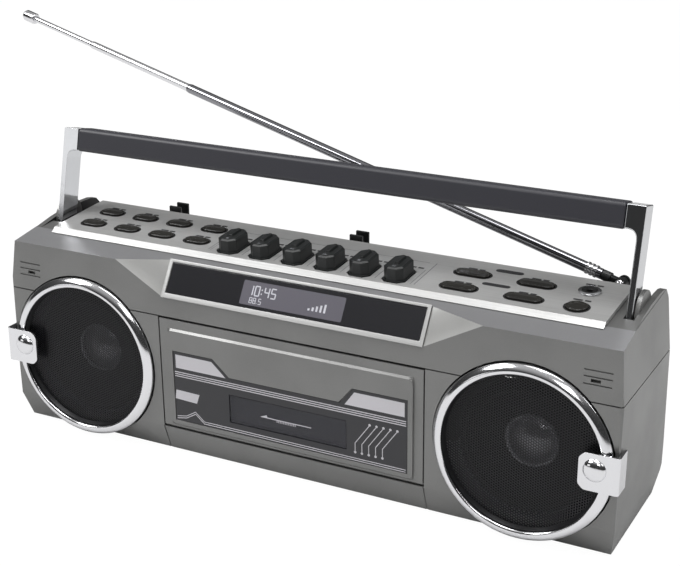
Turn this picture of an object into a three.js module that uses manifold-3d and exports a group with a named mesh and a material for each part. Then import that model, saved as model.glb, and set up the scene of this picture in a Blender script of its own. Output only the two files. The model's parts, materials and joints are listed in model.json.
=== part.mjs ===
// A portable radio-cassette recorder with two speakers, a swinging carry handle and a telescopic aerial.
// Units are millimetres, +Z is up and the front faces -Y.
// The origin is on the ground under the body's middle.
import * as THREE from 'three';
import { mergeVertices } from 'three/addons/utils/BufferGeometryUtils.js';
import { ConvexGeometry } from 'three/addons/geometries/ConvexGeometry.js';
import Module from 'manifold-3d';

const wasm = await Module();
wasm.setup();

// Fits.
const GAP = 0.3; // between fixed pieces that touch
const RUN = 0.5; // round a piece that moves
const SHADOW = 0.8; // open line round the door and the speaker rings
const WALL = 2.5;

// Body.
const BODY_WIDTH = 380;
const BODY_DEPTH = 85.3; // at the seam
const FOOT_HEIGHT = 1.5;
const SEAM_Z = 87.6;
const BREAK_HEIGHT = 16.1; // of the sloping foot of the front, above the underside
const BREAK_SET_BACK = 1.7;
const SILL_SET_BACK = 7.8;
const TOP_TAPER = 3; // the sides lean in by this much from the seam to the top
const SILL_TAPER = 2.7; // and over the sloping foot
const WAIST_TAPER = 0.3; // and from the seam to the foot
const HOOD_HEIGHT = 29; // of the upper front face
const HOOD_SET_BACK = 2.9;
const SEAM_GAP = 0.6;
const CORNER_RADIUS = 3;
const REAR_BULGE = 5.6; // the back is this much deeper low down
const REAR_BULGE_Z = 14;
const REAR_TUCK = 2;

// Top.
const SHOULDER_DEPTH = 20.1; // from the front edge to the crease before the panel
const SHOULDER_RISE = 3.35;
const PANEL_SLOPE = THREE.MathUtils.degToRad(4.1);
const PANEL_DEPTH = 48.8;
const PANEL_PROUD = 2.55;
const PANEL_THICKNESS = 2.2;
const LIP_DEPTH = 3.5;
const LIP_DROP = 2.6;
const END_ZONE = 18; // from the panel's end to the body's side
const LEDGE_DROP = 5.2; // the aerial's ledge, below the floor's rear edge

// Speakers.
const SPEAKER_INSET = 51.6; // centre to the body's side
const SPEAKER_Z = 51.9;
const RING_OUTER = 49.4;
const RING_WIDTH = 5.6;
const RING_PROUD = 3.2;
const RING_SKIRT = 5.8; // how far the skirt goes behind the front face
const RING_WALL = 2.4;
const GRILLE_THICKNESS = 1;
const GRILLE_SET_BACK = 2.2;
const FLANGE_RADIUS = 37.5;
const MAGNET_RADIUS = 22;
const DRIVER_DEPTH = 36;
const DUST_CAP_RADIUS = 14;
const CLASP_WIDTH = 21.4;
const CLASP_HEIGHT = 20.8;
const CLASP_Z = 52.4;
const CLASP_CORNER = 3;
const CLASP_THICKNESS = 1.6;
const CLASP_RETURN = 12; // along the side
const CLASP_DOME = 6;
const CLASP_DOME_INSET = 12.9; // dome's centre to the clasp's outer face
const CLASP_DOME_RISE = 1.3; // and above the clasp's middle

// Cassette door and what is behind it.
const DOOR_HALF = 83;
const DOOR_THICKNESS = 3.4;
const DOOR_BORDER = 5.6; // door's side to the raised panel's
const DOOR_RAISED_TOP = 5.2; // raised panel's top edge below the door's
const DOOR_RAISED_BOTTOM = 2.2;
const DOOR_RAISED_PROUD = 1.2;
const TRIM_BORDER = 3.3; // raised panel's side to the trim's
const TRIM_BOTTOM = 24.6;
const TRIM_TOP = 68;
const TRIM_THICKNESS = 0.9;
const TRIM_NOTCH_TOP = 58.3; // the trim's top edge between its two raised ends
const TRIM_NOTCH_LEFT = [-47.8, -37]; // the slant down from the left end
const TRIM_NOTCH_RIGHT = [33.5, 41.5]; // the slant up to the right end
const WINDOW_HALF = 37.4;
const WINDOW_BOTTOM = 30.5;
const WINDOW_TOP = 48;
const WINDOW_LAND = 2;
const HINGE_RADIUS = 2.1;
const CASSETTE_WIDTH = 100.4;
const CASSETTE_SPACE = 1; // each side of the cassette
const GUIDE_WALL = 2;
const GUIDE_DEPTH = 12.5;
const GUIDE_BOTTOM = 22;
const GUIDE_TOP = 60;
const DECK_SPACE = 17; // door to deck plate
const DECK_THICKNESS = 2;
const DECK_HALF = 78;
const DECK_BOTTOM = 8;
const DECK_TOP = 97;
const HUB_SPACING = 42.5;
const HUB_Z = 50.7;
const HUB_RADIUS = 4.6;
const HUB_REACH = 9;
const HEAD_Z = 80;
const CAPSTAN_X = 26;
const FLYWHEEL_RADIUS = 17;
const PINCH_RADIUS = 6.5;

// Display, on a chamfer cut from the front top corner.
const DISPLAY_HALF = 81.6;
const DISPLAY_BOTTOM_Z = 99.7;
const DISPLAY_HEIGHT = 22.9;
const DISPLAY_LEAN = THREE.MathUtils.degToRad(31.3);
const DISPLAY_PROUD = 1;
const FACET_REACH = 32.4; // the facets run out this far past the display
const BEZEL_SLEEVE = 3.2;
const BEZEL_LAND = 0.9;
const BEZEL_RIM = 2.2;
const BEZEL_SILL = 2.9;
const BEZEL_TOP = 1.7;
const GLASS_THICKNESS = 1.2;
const MODULE_THICKNESS = 4.5;

// Circuit board.
const BOARD_HALF = 150;
const BOARD_Z = 101.5;

// Keys and buttons.
const KEY_COUNT = 6;
const KEY_PITCH = 21;
const KEY_OFFSET_X = -1;
const KEY_WIDTH = 11.8;
const KEY_LENGTH = 19.6;
const KEY_HEIGHT = 9.2;
const KEY_STEM = 7;
const KEY_CHAMFER = 3.4;
const KEY_SKIRT = 0.8;
const KEY_CENTRE_V = 13.2;
const OVAL_COLUMNS = 4;
const OVAL_PITCH = 24.6;
const OVAL_INSET = 19.5; // last column to the panel's end
const OVAL_V = 13;
const OVAL_ROW_PITCH = 19.3;
const OVAL_LENGTH = 15.2;
const OVAL_DEPTH = 8;
const LONG_PITCH = 36.6;
const LONG_INSET = 47.8;
const LONG_V = 10.9;
const LONG_ROW_PITCH = 19.6;
const LONG_LENGTH = 20;
const LONG_DEPTH = 7.6;
const ROUND_INSET = 19.1;
const ROUND_V = 11.2;
const JACK_V = 32.2;
const ROUND_DIAMETER = 11.6;
const JACK_DIAMETER = 12.2;
const JACK_RIM = 1.5;
const JACK_BORE = 3.6;
const BUTTON_PROUD = 1.2;
const BUTTON_STEM = 4.2;

// Handle.
const SLOT_INSET = 6.6; // slot's outer wall to the body's side
const SLOT_WIDTH = 6.5;
const SLOT_FRONT_Y = 35; // behind the front face
const PIVOT_Y = 42.6; // behind the front face
const PIVOT_BELOW_FLOOR = 6.4;
const ARM_THICKNESS = 3.4;
const ARM_DEPTH = 13.8;
const ARM_LENGTH = 62;
const HANDLE_LEAN = THREE.MathUtils.degToRad(12.5);
const GRIP_HEIGHT = 14.2;
const GRIP_DEPTH = 14.8;
const GRIP_END = 10.6; // arm's outer face to the grip's end
const GRIP_OVER = 0.7; // the grip stands above the end pieces
const FILLET = 5.5;
const PIN_RADIUS = 2;
const EAR_RADIUS = 12;
const EAR_Y = 50; // behind the front face
const EAR_THICKNESS = 1.8;
const RAIL_RISE = 2.6;

// Aerial.
const AERIAL_INSET = 26.9; // swivel to the body's side
const AERIAL_REAR = 7.3; // swivel to the rear face at the seam
const AERIAL_HEIGHT = 5.6; // tilt pin above the ledge
const AERIAL_SWING = THREE.MathUtils.degToRad(9.1);
const AERIAL_TILT = THREE.MathUtils.degToRad(12.2);
const TUBE_DIAMETERS = [6.0, 4.9, 3.8];
const TUBE_WALL = 0.25;
const TUBE_ENDS = [315, 403, 458]; // from the tilt pin to each section's far end
const TUBE_STARTS = [12, 118, 188];
const TIP_LENGTH = 10;
const TIP_DIAMETER = 7.4;
const FORK_RADIUS = 3.6;
const FORK_WALL = 1.6;
const TONGUE_WIDTH = 3.4;
const CLIP_LENGTH = 8.4;
const CLIP_DEPTH = 10;
const CLIP_HEIGHT = 10.4;
const CLIP_REACHES = [157, 282]; // from the swivel

// Back.
const COVER_INSET = 14; // cover's edge to the body's side
const COVER_BOTTOM = 15;
const COVER_TOP = 84;
const COVER_THICKNESS = 3;
const BATTERY_HALF = 77;
const BATTERY_BOTTOM = 22;
const BATTERY_TOP = 76;
const BATTERY_DEPTH = 28;
const BATTERY_WALL = 2;
const DOOR_LAND = 3; // battery door past its opening, each side
const BATTERY_DOOR_THICKNESS = 1.7;
const INLET_X = -125;
const INLET_Z = 32;
const INLET_WIDTH = 22;
const INLET_HEIGHT = 14;
const INLET_DEPTH = 12;
const SOCKET_WIDTH = 17;
const SOCKET_HEIGHT = 9;
const SOCKET_DEPTH = 9;
const PAD_HALF = 30;
const PAD_DEPTH = 24;
const FOOT_LENGTH = 300;
const FOOT_WIDTH = 8;
const FOOT_INSET = 8;

// Derived places.
const HALF = BODY_WIDTH / 2;
const FRONT = -43;
const REAR = FRONT + BODY_DEPTH;
const HOOD_BOTTOM = SEAM_Z + SEAM_GAP;
const EDGE_Y = FRONT + HOOD_SET_BACK;
const EDGE_Z = SEAM_Z + HOOD_HEIGHT;
const CREASE_Y = EDGE_Y + SHOULDER_DEPTH;
const CREASE_Z = EDGE_Z + SHOULDER_RISE;
const floorZ = (y) => CREASE_Z + (y - CREASE_Y) * Math.tan(PANEL_SLOPE);
const PANEL_HALF = HALF - END_ZONE;
const PANEL_FRONT_Y = CREASE_Y - 0.7;
const PANEL_FRONT_Z = CREASE_Z + PANEL_PROUD;
const PANEL_REAR_Y = PANEL_FRONT_Y + PANEL_DEPTH;
const LEDGE_Y = PANEL_REAR_Y + GAP;
const LEDGE_Z = floorZ(PANEL_REAR_Y) - LEDGE_DROP;
const SPEAKER_X = HALF - SPEAKER_INSET;
const RING_INNER = RING_OUTER - RING_WIDTH;
const SLOT_OUTER = HALF - SLOT_INSET;
const SLOT_INNER = SLOT_OUTER - SLOT_WIDTH;
const PIVOT = { y: FRONT + PIVOT_Y, z: floorZ(FRONT + PIVOT_Y) - PIVOT_BELOW_FLOOR };
const ARM_OUTER = SLOT_OUTER - EAR_THICKNESS - RUN - 0.1;
const ARM_INNER = ARM_OUTER - ARM_THICKNESS;
const GRIP_HALF = ARM_OUTER - GRIP_END;
const SLOT_BOTTOM = PIVOT.z - ARM_DEPTH / 2 - RUN - 0.5;
const AERIAL = { x: HALF - AERIAL_INSET, y: REAR - AERIAL_REAR, z: LEDGE_Z + AERIAL_HEIGHT };
const DISPLAY_BASE_Y = FRONT + 0.2;
const DOOR_BOTTOM = FOOT_HEIGHT + BREAK_HEIGHT + SHADOW;
const DOOR_TOP = SEAM_Z - 0.7;
const frontY = (z) => FRONT + BREAK_SET_BACK * (SEAM_Z - z) / (SEAM_Z - FOOT_HEIGHT - BREAK_HEIGHT);
const DOOR_BACK = FRONT + DOOR_THICKNESS + BREAK_SET_BACK * 0.5;
const DOOR_HINGE = { y: FRONT + BREAK_SET_BACK + HINGE_RADIUS - 0.3, z: DOOR_BOTTOM + 1.6 };
const DOOR_RAISED_HALF = DOOR_HALF - DOOR_BORDER;
const TRIM_HALF = DOOR_RAISED_HALF - TRIM_BORDER;
const DECK_Y = DOOR_BACK + DECK_SPACE;
const rearY = (z) => REAR + REAR_BULGE * (SEAM_Z - z) / (SEAM_Z - REAR_BULGE_Z);

// Finishes.
const finish = (color, roughness, metalness = 0) => ({ color, roughness, metalness });
const SILVER = finish(0x8c8c87, 0.45, 0.5);
const BRUSHED = finish(0xa5a39e, 0.4, 0.8);
const CHROME = finish(0xd8dade, 0.12, 1);
const BLACK = finish(0x232625, 0.5);
const GLOSS = finish(0x2c2b28, 0.25);
const GRIP_BLACK = finish(0x323237, 0.45);
const DARK_TRIM = finish(0x2d2d30, 0.4);
const GLASS = finish(0x3a3a3e, 0.1);
const LCD = finish(0x8c8796, 0.3);
const BOARD = finish(0x2f5d3a, 0.6);
const RUBBER = finish(0x1a1a1a, 0.9);
const STEEL = finish(0x9a9da0, 0.35, 1);

const X = new THREE.Vector3(1, 0, 0);
const Y = new THREE.Vector3(0, 1, 0);
const Z = new THREE.Vector3(0, 0, 1);

// Solids.
function toSolid(geometry) {
  const bare = geometry.clone();
  bare.deleteAttribute('normal');
  bare.deleteAttribute('uv');
  const merged = mergeVertices(bare, 1e-4);
  const index = merged.index.array;
  const corners = [];
  for (let i = 0; i < index.length; i += 3) {
    const [a, b, c] = [index[i], index[i + 1], index[i + 2]];
    if (a !== b && b !== c && c !== a) corners.push(a, b, c);
  }
  const mesh = new wasm.Mesh({
    numProp: 3,
    vertProperties: new Float32Array(merged.attributes.position.array),
    triVerts: new Uint32Array(corners),
  });
  return new wasm.Manifold(mesh);
}

function toGeometry(solid) {
  const mesh = solid.getMesh();
  const geometry = new THREE.BufferGeometry();
  geometry.setAttribute('position', new THREE.BufferAttribute(mesh.vertProperties, 3));
  geometry.setIndex(new THREE.BufferAttribute(mesh.triVerts, 1));
  geometry.computeVertexNormals();
  return geometry;
}

const outline = (points) => new THREE.Shape(points.map(([a, b]) => new THREE.Vector2(a, b)));

function extrude(shape, axis, from, to) {
  const settings = { depth: to - from, bevelEnabled: false, curveSegments: 6 };
  const geometry = new THREE.ExtrudeGeometry(shape, settings);
  const frame = new THREE.Matrix4();
  if (axis === 'x') frame.makeBasis(Y, Z, X).setPosition(from, 0, 0);
  if (axis === 'y') frame.makeBasis(X, Z, Y.clone().negate()).setPosition(0, to, 0);
  if (axis === 'z') frame.setPosition(0, 0, from);
  return toSolid(geometry.applyMatrix4(frame));
}

// A block between two corners.
function block([x0, y0, z0], [x1, y1, z1]) {
  const geometry = new THREE.BoxGeometry(x1 - x0, y1 - y0, z1 - z0);
  return toSolid(geometry.translate((x0 + x1) / 2, (y0 + y1) / 2, (z0 + z1) / 2));
}

// A regular polygon standing in for a circle, in the plane that extrude() pushes along its axis.
function disc(a, b, radius, sides = 24) {
  const points = [];
  for (let i = 0; i < sides; i += 1) {
    const turn = (i + 0.5) * 2 * Math.PI / sides;
    points.push([a + radius * Math.cos(turn), b + radius * Math.sin(turn)]);
  }
  return outline(points);
}

// A bar with round ends, length along the first axis.
function stadium(a, b, length, depth) {
  const shape = new THREE.Shape();
  const reach = (length - depth) / 2;
  shape.absarc(a + reach, b, depth / 2, -Math.PI / 2, Math.PI / 2, false);
  shape.absarc(a - reach, b, depth / 2, Math.PI / 2, 1.5 * Math.PI, false);
  return shape;
}

// A rectangle with cut corners.
function cutRectangle(a, b, width, length, cut) {
  const w = width / 2;
  const l = length / 2;
  return outline([
    [a - w + cut, b - l], [a + w - cut, b - l], [a + w, b - l + cut], [a + w, b + l - cut],
    [a + w - cut, b + l], [a - w + cut, b + l], [a - w, b + l - cut], [a - w, b - l + cut],
  ]);
}

// A closed profile turned about the Y axis, then moved to its centre.
function turned(profile, sides, x, z) {
  const points = profile.map(([radius, y]) => new THREE.Vector2(radius, y));
  return toSolid(new THREE.LatheGeometry(points, sides).translate(x, 0, z));
}

const both = [['left', -1], ['right', 1]];

// Scene graph.
const recorder = new THREE.Group();

function piece(name, solid, look, parent = recorder) {
  const mesh = new THREE.Mesh(toGeometry(solid), new THREE.MeshStandardMaterial(look));
  mesh.name = name;
  parent.add(mesh);
  return mesh;
}

const panelFrame = new THREE.Group();
panelFrame.position.set(0, PANEL_FRONT_Y, PANEL_FRONT_Z);
panelFrame.rotation.x = PANEL_SLOPE;

const displayFrame = new THREE.Group();
displayFrame.position.set(0, DISPLAY_BASE_Y, DISPLAY_BOTTOM_Z);
displayFrame.rotation.x = -DISPLAY_LEAN;

const handleFrame = new THREE.Group();
handleFrame.position.set(0, PIVOT.y, PIVOT.z);
handleFrame.rotation.x = -HANDLE_LEAN;

const swivelFrame = new THREE.Group();
swivelFrame.position.set(AERIAL.x, AERIAL.y, AERIAL.z);
swivelFrame.rotation.z = Math.PI - AERIAL_SWING;

const tiltFrame = new THREE.Group();
tiltFrame.rotation.y = -AERIAL_TILT;
swivelFrame.add(tiltFrame);
recorder.add(panelFrame, displayFrame, handleFrame, swivelFrame);

// The body's outer form: a side profile, a front outline with leaning sides and a plan with round corners.
function envelope(profile, bottom, top) {
  const deep = BODY_DEPTH + 40;
  const foot = HALF - WAIST_TAPER - SILL_TAPER;
  const waist = HALF - WAIST_TAPER;
  const crown = HALF - TOP_TAPER;
  const breakZ = FOOT_HEIGHT + BREAK_HEIGHT;
  const crownZ = SEAM_Z + HOOD_HEIGHT + 4;
  const front = outline([
    [-foot, FOOT_HEIGHT], [foot, FOOT_HEIGHT], [waist, breakZ], [HALF, SEAM_Z], [crown, crownZ],
    [crown, crownZ + 9], [-crown, crownZ + 9], [-crown, crownZ], [-HALF, SEAM_Z], [-waist, breakZ],
  ]);
  const depth = BODY_DEPTH + REAR_BULGE;
  const plan = cutRectangle(0, FRONT + depth / 2, BODY_WIDTH, depth, CORNER_RADIUS / 2);
  return extrude(outline(profile), 'x', -HALF, HALF)
    .intersect(extrude(front, 'y', FRONT - deep, REAR + deep))
    .intersect(extrude(plan, 'z', bottom - 1, top + 1));
}

// Lower cabinet: a tub with the speaker openings, the door's opening and a window for the rear cover.
function lowerCabinet() {
  const sill = FOOT_HEIGHT + BREAK_HEIGHT;
  const outer = envelope([
    [FRONT + SILL_SET_BACK, FOOT_HEIGHT], [FRONT + BREAK_SET_BACK, sill], [FRONT, SEAM_Z], [REAR, SEAM_Z],
    [REAR + REAR_BULGE, REAR_BULGE_Z], [REAR - REAR_TUCK, FOOT_HEIGHT],
  ], FOOT_HEIGHT, SEAM_Z);
  const inside = HALF - TOP_TAPER - WALL;
  const cavity = extrude(outline([
    [FRONT + SILL_SET_BACK + WALL, FOOT_HEIGHT + WALL], [FRONT + BREAK_SET_BACK + WALL, sill],
    [FRONT + WALL, SEAM_Z + 1], [REAR - WALL, SEAM_Z + 1], [REAR + REAR_BULGE - WALL - 0.3, REAR_BULGE_Z],
    [REAR - REAR_TUCK - WALL, FOOT_HEIGHT + WALL],
  ]), 'x', -inside, inside);
  const coverHole = HALF - COVER_INSET;
  const doorHole = DOOR_HALF + SHADOW;
  let tub = outer
    .subtract(cavity)
    .subtract(block([-doorHole, FRONT - 9, sill + GAP], [doorHole, FRONT + 9, SEAM_Z + 9]))
    .subtract(block([-coverHole, REAR - 9, COVER_BOTTOM], [coverHole, REAR + 19, COVER_TOP]))
    .add(block([-PAD_HALF, -PAD_DEPTH / 2, 0], [PAD_HALF, PAD_DEPTH / 2, FOOT_HEIGHT + 1]));
  for (const [, side] of both) {
    const hole = disc(side * SPEAKER_X, SPEAKER_Z, RING_OUTER + SHADOW, 48);
    tub = tub.subtract(extrude(hole, 'y', FRONT - 9, FRONT + RING_SKIRT + RUN));
  }
  return tub;
}

// Upper cabinet: the hood with its shoulder, end floors, handle slots and the aerial's ledge.
function upperCabinet() {
  const outer = envelope([
    [FRONT + 0.35, HOOD_BOTTOM], [EDGE_Y, EDGE_Z], [CREASE_Y, CREASE_Z],
    [REAR - 6, floorZ(REAR - 6)], [REAR - 2, LEDGE_Z + 1.5], [REAR - 1, LEDGE_Z - 1], [REAR, HOOD_BOTTOM],
  ], HOOD_BOTTOM, floorZ(REAR));
  const sideRail = outline([
    [CREASE_Y - 1, CREASE_Z - 3], [CREASE_Y, CREASE_Z], [FRONT + 36, floorZ(FRONT + 36) + RAIL_RISE * 0.65],
    [FRONT + 50, floorZ(FRONT + 50) + RAIL_RISE], [FRONT + 66, floorZ(FRONT + 66) + RAIL_RISE * 0.9],
    [REAR - 11.3, floorZ(REAR - 11.3) + RAIL_RISE * 0.6], [REAR - 6, floorZ(REAR - 6)],
    [REAR - 2, LEDGE_Z + 1.5], [REAR - 1, HOOD_BOTTOM + 20], [CREASE_Y - 1, HOOD_BOTTOM + 20],
  ]);
  const insideTop = LEDGE_Z - WALL;
  const cavity = extrude(outline([
    [FRONT + WALL + 0.9, HOOD_BOTTOM - 1], [DISPLAY_BASE_Y + 3.4, DISPLAY_BOTTOM_Z - 2.1],
    [DISPLAY_BASE_Y + 15.3, CREASE_Z - WALL - 0.6], [LEDGE_Y - WALL, floorZ(LEDGE_Y) - WALL - 1],
    [LEDGE_Y - WALL, insideTop], [REAR - WALL - 1, insideTop], [REAR - WALL, HOOD_BOTTOM - 1],
  ]), 'x', -HALF + TOP_TAPER + WALL, HALF - TOP_TAPER - WALL);
  const throat = block(
    [-PANEL_HALF + 6, PANEL_FRONT_Y + 1.2, CREASE_Z - 9],
    [PANEL_HALF - 6, PANEL_REAR_Y - 4, CREASE_Z + 9],
  );
  const trough = outline([
    [FRONT + SLOT_FRONT_Y - WALL, SLOT_BOTTOM - 2], [REAR - 1.5, SLOT_BOTTOM - 2],
    [REAR - 1.5, LEDGE_Z - 0.2], [LEDGE_Y - 0.2, LEDGE_Z - 0.2], [LEDGE_Y - 0.2, floorZ(LEDGE_Y) - 1],
    [FRONT + SLOT_FRONT_Y - WALL, floorZ(FRONT + SLOT_FRONT_Y - WALL) - 1],
  ]);
  let hood = outer.subtract(cavity).subtract(throat);
  hood = hood.subtract(block([-SLOT_INNER - 1, LEDGE_Y, LEDGE_Z], [SLOT_INNER + 1, REAR + 9, LEDGE_Z + 30]));
  for (const [, side] of both) {
    const span = (near, far) => [Math.min(side * near, side * far), Math.max(side * near, side * far)];
    const [railFrom, railTo] = span(SLOT_OUTER, HALF - TOP_TAPER - 0.2);
    const [troughFrom, troughTo] = span(SLOT_INNER - WALL, SLOT_OUTER + 2);
    const [slotFrom, slotTo] = span(SLOT_INNER, SLOT_OUTER);
    const [earFrom, earTo] = span(SLOT_OUTER - EAR_THICKNESS, SLOT_OUTER + 0.5);
    const [boreFrom, boreTo] = span(SLOT_INNER - WALL - 1, SLOT_INNER + 1);
    const slotFront = FRONT + SLOT_FRONT_Y;
    const earZ = floorZ(FRONT + EAR_Y) - 1.9;
    hood = hood
      .add(extrude(sideRail, 'x', railFrom, railTo))
      .add(extrude(trough, 'x', troughFrom, troughTo))
      .subtract(block([slotFrom, slotFront, SLOT_BOTTOM], [slotTo, REAR + 9, CREASE_Z + 30]))
      .add(extrude(disc(FRONT + EAR_Y, earZ, EAR_RADIUS, 28), 'x', earFrom, earTo))
      .subtract(extrude(disc(PIVOT.y, PIVOT.z, PIN_RADIUS + GAP, 16), 'x', boreFrom, boreTo))
      .subtract(extrude(disc(side * SPEAKER_X, SPEAKER_Z, RING_OUTER + SHADOW, 48), 'y', FRONT - 9,
        FRONT + RING_SKIRT + RUN));
  }
  return hood.subtract(displayCutter()).subtract(displayOpening());
}

// The chamfer for the display, with facets that run out to the front top edge on both sides.
function displayCutter() {
  const sink = DISPLAY_PROUD;
  const up = new THREE.Vector2(Math.sin(DISPLAY_LEAN), Math.cos(DISPLAY_LEAN));
  const out = new THREE.Vector2(-Math.cos(DISPLAY_LEAN), Math.sin(DISPLAY_LEAN));
  const at = (x, along, off) => new THREE.Vector3(
    x,
    DISPLAY_BASE_Y + up.x * along + out.x * off,
    DISPLAY_BOTTOM_Z + up.y * along + out.y * off,
  );
  const points = [];
  for (const [, side] of both) {
    const end = side * (DISPLAY_HALF + GAP);
    points.push(new THREE.Vector3(side * (DISPLAY_HALF + FACET_REACH), EDGE_Y, EDGE_Z));
    points.push(at(end, -1, -sink), at(end, DISPLAY_HEIGHT + 1.5, -sink), at(end, DISPLAY_HEIGHT / 2, 20));
  }
  return toSolid(new ConvexGeometry(points));
}

function displayOpening() {
  const hole = DISPLAY_HALF - BEZEL_LAND;
  const slab = block([-hole, -14, BEZEL_LAND], [hole, 9, DISPLAY_HEIGHT - BEZEL_LAND]);
  displayFrame.updateMatrix();
  return slab.transform(displayFrame.matrix.elements);
}

// Rear cover with the battery tray sunk into it.
function rearCover() {
  const half = HALF - COVER_INSET - GAP;
  const low = COVER_BOTTOM + GAP;
  const high = COVER_TOP - GAP;
  const slab = (from, to, lowZ, highZ, halfX) => extrude(outline([
    [from(lowZ), lowZ], [to(lowZ), lowZ], [to(highZ), highZ], [from(highZ), highZ],
  ]), 'x', -halfX, halfX);
  const plate = slab((z) => rearY(z) - COVER_THICKNESS, rearY, low, high, half);
  const trayBack = REAR + 1 - BATTERY_DEPTH;
  const tray = slab(() => trayBack - BATTERY_WALL, (z) => rearY(z) - 1, BATTERY_BOTTOM - BATTERY_WALL,
    BATTERY_TOP + BATTERY_WALL, BATTERY_HALF + BATTERY_WALL);
  const cavity = block([-BATTERY_HALF, trayBack, BATTERY_BOTTOM], [BATTERY_HALF, REAR + 20, BATTERY_TOP]);
  const socket = block(
    [INLET_X - INLET_WIDTH / 2 - GAP, REAR - 20, INLET_Z - INLET_HEIGHT / 2 - GAP],
    [INLET_X + INLET_WIDTH / 2 + GAP, REAR + 20, INLET_Z + INLET_HEIGHT / 2 + GAP],
  );
  return plate.add(tray).subtract(cavity).subtract(batteryDoorSolid(GAP)).subtract(socket);
}

// The battery door follows the leaning back; clearance widens it for the recess that it closes.
function batteryDoorSolid(clearance) {
  const half = BATTERY_HALF + DOOR_LAND + clearance;
  const low = BATTERY_BOTTOM - DOOR_LAND - clearance;
  const high = BATTERY_TOP + DOOR_LAND + clearance;
  const thick = BATTERY_DOOR_THICKNESS + clearance;
  return extrude(outline([
    [rearY(low) - thick, low], [rearY(low) + 2 * clearance, low], [rearY(high) + 2 * clearance, high],
    [rearY(high) - thick, high],
  ]), 'x', -half, half);
}

// Silver control panel with a sloping front lip and a hole for each key and button.
function controlPanel(holes) {
  const plate = extrude(outline([
    [-LIP_DEPTH, -LIP_DROP + 0.1], [0, 0], [PANEL_DEPTH, 0], [PANEL_DEPTH, -PANEL_THICKNESS],
    [0.6, -PANEL_THICKNESS], [-LIP_DEPTH + 1.2, -LIP_DROP + 0.1],
  ]), 'x', -PANEL_HALF, PANEL_HALF);
  return holes.reduce((solid, hole) => solid.subtract(extrude(hole, 'z', -9, 9)), plate);
}

// A cassette key: a tall block with cut corners and a skirt that fills its hole.
function keySolid() {
  const shank = cutRectangle(0, 0, KEY_WIDTH, KEY_LENGTH, KEY_CHAMFER);
  const skirt = cutRectangle(0, 0, KEY_WIDTH + 2 * KEY_SKIRT, KEY_LENGTH + 2 * KEY_SKIRT, KEY_CHAMFER);
  return extrude(shank, 'z', -KEY_STEM, KEY_HEIGHT).add(extrude(skirt, 'z', -1.6, 0.5));
}

// Speakers.
function speakerRing(x) {
  const face = FRONT - RING_PROUD;
  const back = FRONT + RING_SKIRT;
  const crest = (RING_OUTER + 2 * RING_INNER) / 3;
  return turned([
    [RING_OUTER, back], [RING_OUTER, FRONT - 0.4], [RING_OUTER - 1.5, FRONT - 2], [crest, face],
    [RING_INNER + 0.6, face + 0.3], [RING_INNER, face + 1], [RING_INNER, FRONT - 1.6],
    [RING_OUTER - RING_WALL, FRONT - 1.2], [RING_OUTER - RING_WALL, back], [RING_OUTER, back],
  ].reverse(), 48, x, SPEAKER_Z);
}

function speakerGrille(x) {
  const edge = RING_OUTER - RING_WALL - GAP;
  const y = FRONT - 1.2 + GAP;
  return turned([
    [0, y + GRILLE_SET_BACK], [edge - 9, y + GRILLE_SET_BACK], [edge - 3, y], [edge, y],
    [edge, y + GRILLE_THICKNESS], [edge - 3, y + GRILLE_THICKNESS],
    [edge - 9, y + GRILLE_SET_BACK + GRILLE_THICKNESS], [0, y + GRILLE_SET_BACK + GRILLE_THICKNESS],
  ], 40, x, SPEAKER_Z);
}

function speakerDriver(x) {
  const flange = FRONT + RING_SKIRT + GAP;
  const neck = flange + 20;
  return turned([
    [0, neck - 4], [DUST_CAP_RADIUS * 0.7, neck - 2.5], [DUST_CAP_RADIUS, neck],
    [FLANGE_RADIUS - 6, flange + 1], [FLANGE_RADIUS - 5, flange],
    [FLANGE_RADIUS, flange], [FLANGE_RADIUS, flange + 1.6],
    [FLANGE_RADIUS - 4, flange + 3], [MAGNET_RADIUS, neck + 3], [MAGNET_RADIUS, flange + DRIVER_DEPTH],
    [0, flange + DRIVER_DEPTH],
  ], 32, x, SPEAKER_Z);
}

// A chrome clasp over the ring's outer edge that wraps round onto the side.
function clasp(side) {
  const outer = HALF + GAP + CLASP_THICKNESS;
  const face = FRONT - RING_PROUD - GAP - CLASP_THICKNESS;
  const shape = outline([
    [outer - CLASP_WIDTH, face], [outer - 1, face], [outer, face + 1], [outer, face + CLASP_RETURN],
    [outer - CLASP_THICKNESS, face + CLASP_RETURN], [outer - CLASP_THICKNESS, face + CLASP_THICKNESS],
    [outer - CLASP_WIDTH, face + CLASP_THICKNESS],
  ].map(([x, y]) => [side * x, y]));
  const low = CLASP_Z - CLASP_HEIGHT / 2;
  const high = low + CLASP_HEIGHT;
  const front = outline([
    [outer - CLASP_WIDTH + CLASP_CORNER, low], [outer + 1, low], [outer + 1, high],
    [outer - CLASP_WIDTH + CLASP_CORNER, high], [outer - CLASP_WIDTH, high - CLASP_CORNER],
    [outer - CLASP_WIDTH, low + CLASP_CORNER],
  ].map(([x, z]) => [side * x, z]));
  const dome = turned([
    [0, face - 2.4], [CLASP_DOME * 0.6, face - 1.9], [CLASP_DOME, face + 0.2], [CLASP_DOME, face + 1],
    [0, face + 1],
  ], 20, side * (outer - CLASP_DOME_INSET), CLASP_Z + CLASP_DOME_RISE);
  return extrude(shape, 'z', low, high)
    .intersect(extrude(front, 'y', face - 1, face + CLASP_RETURN + 1))
    .add(dome);
}

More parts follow.
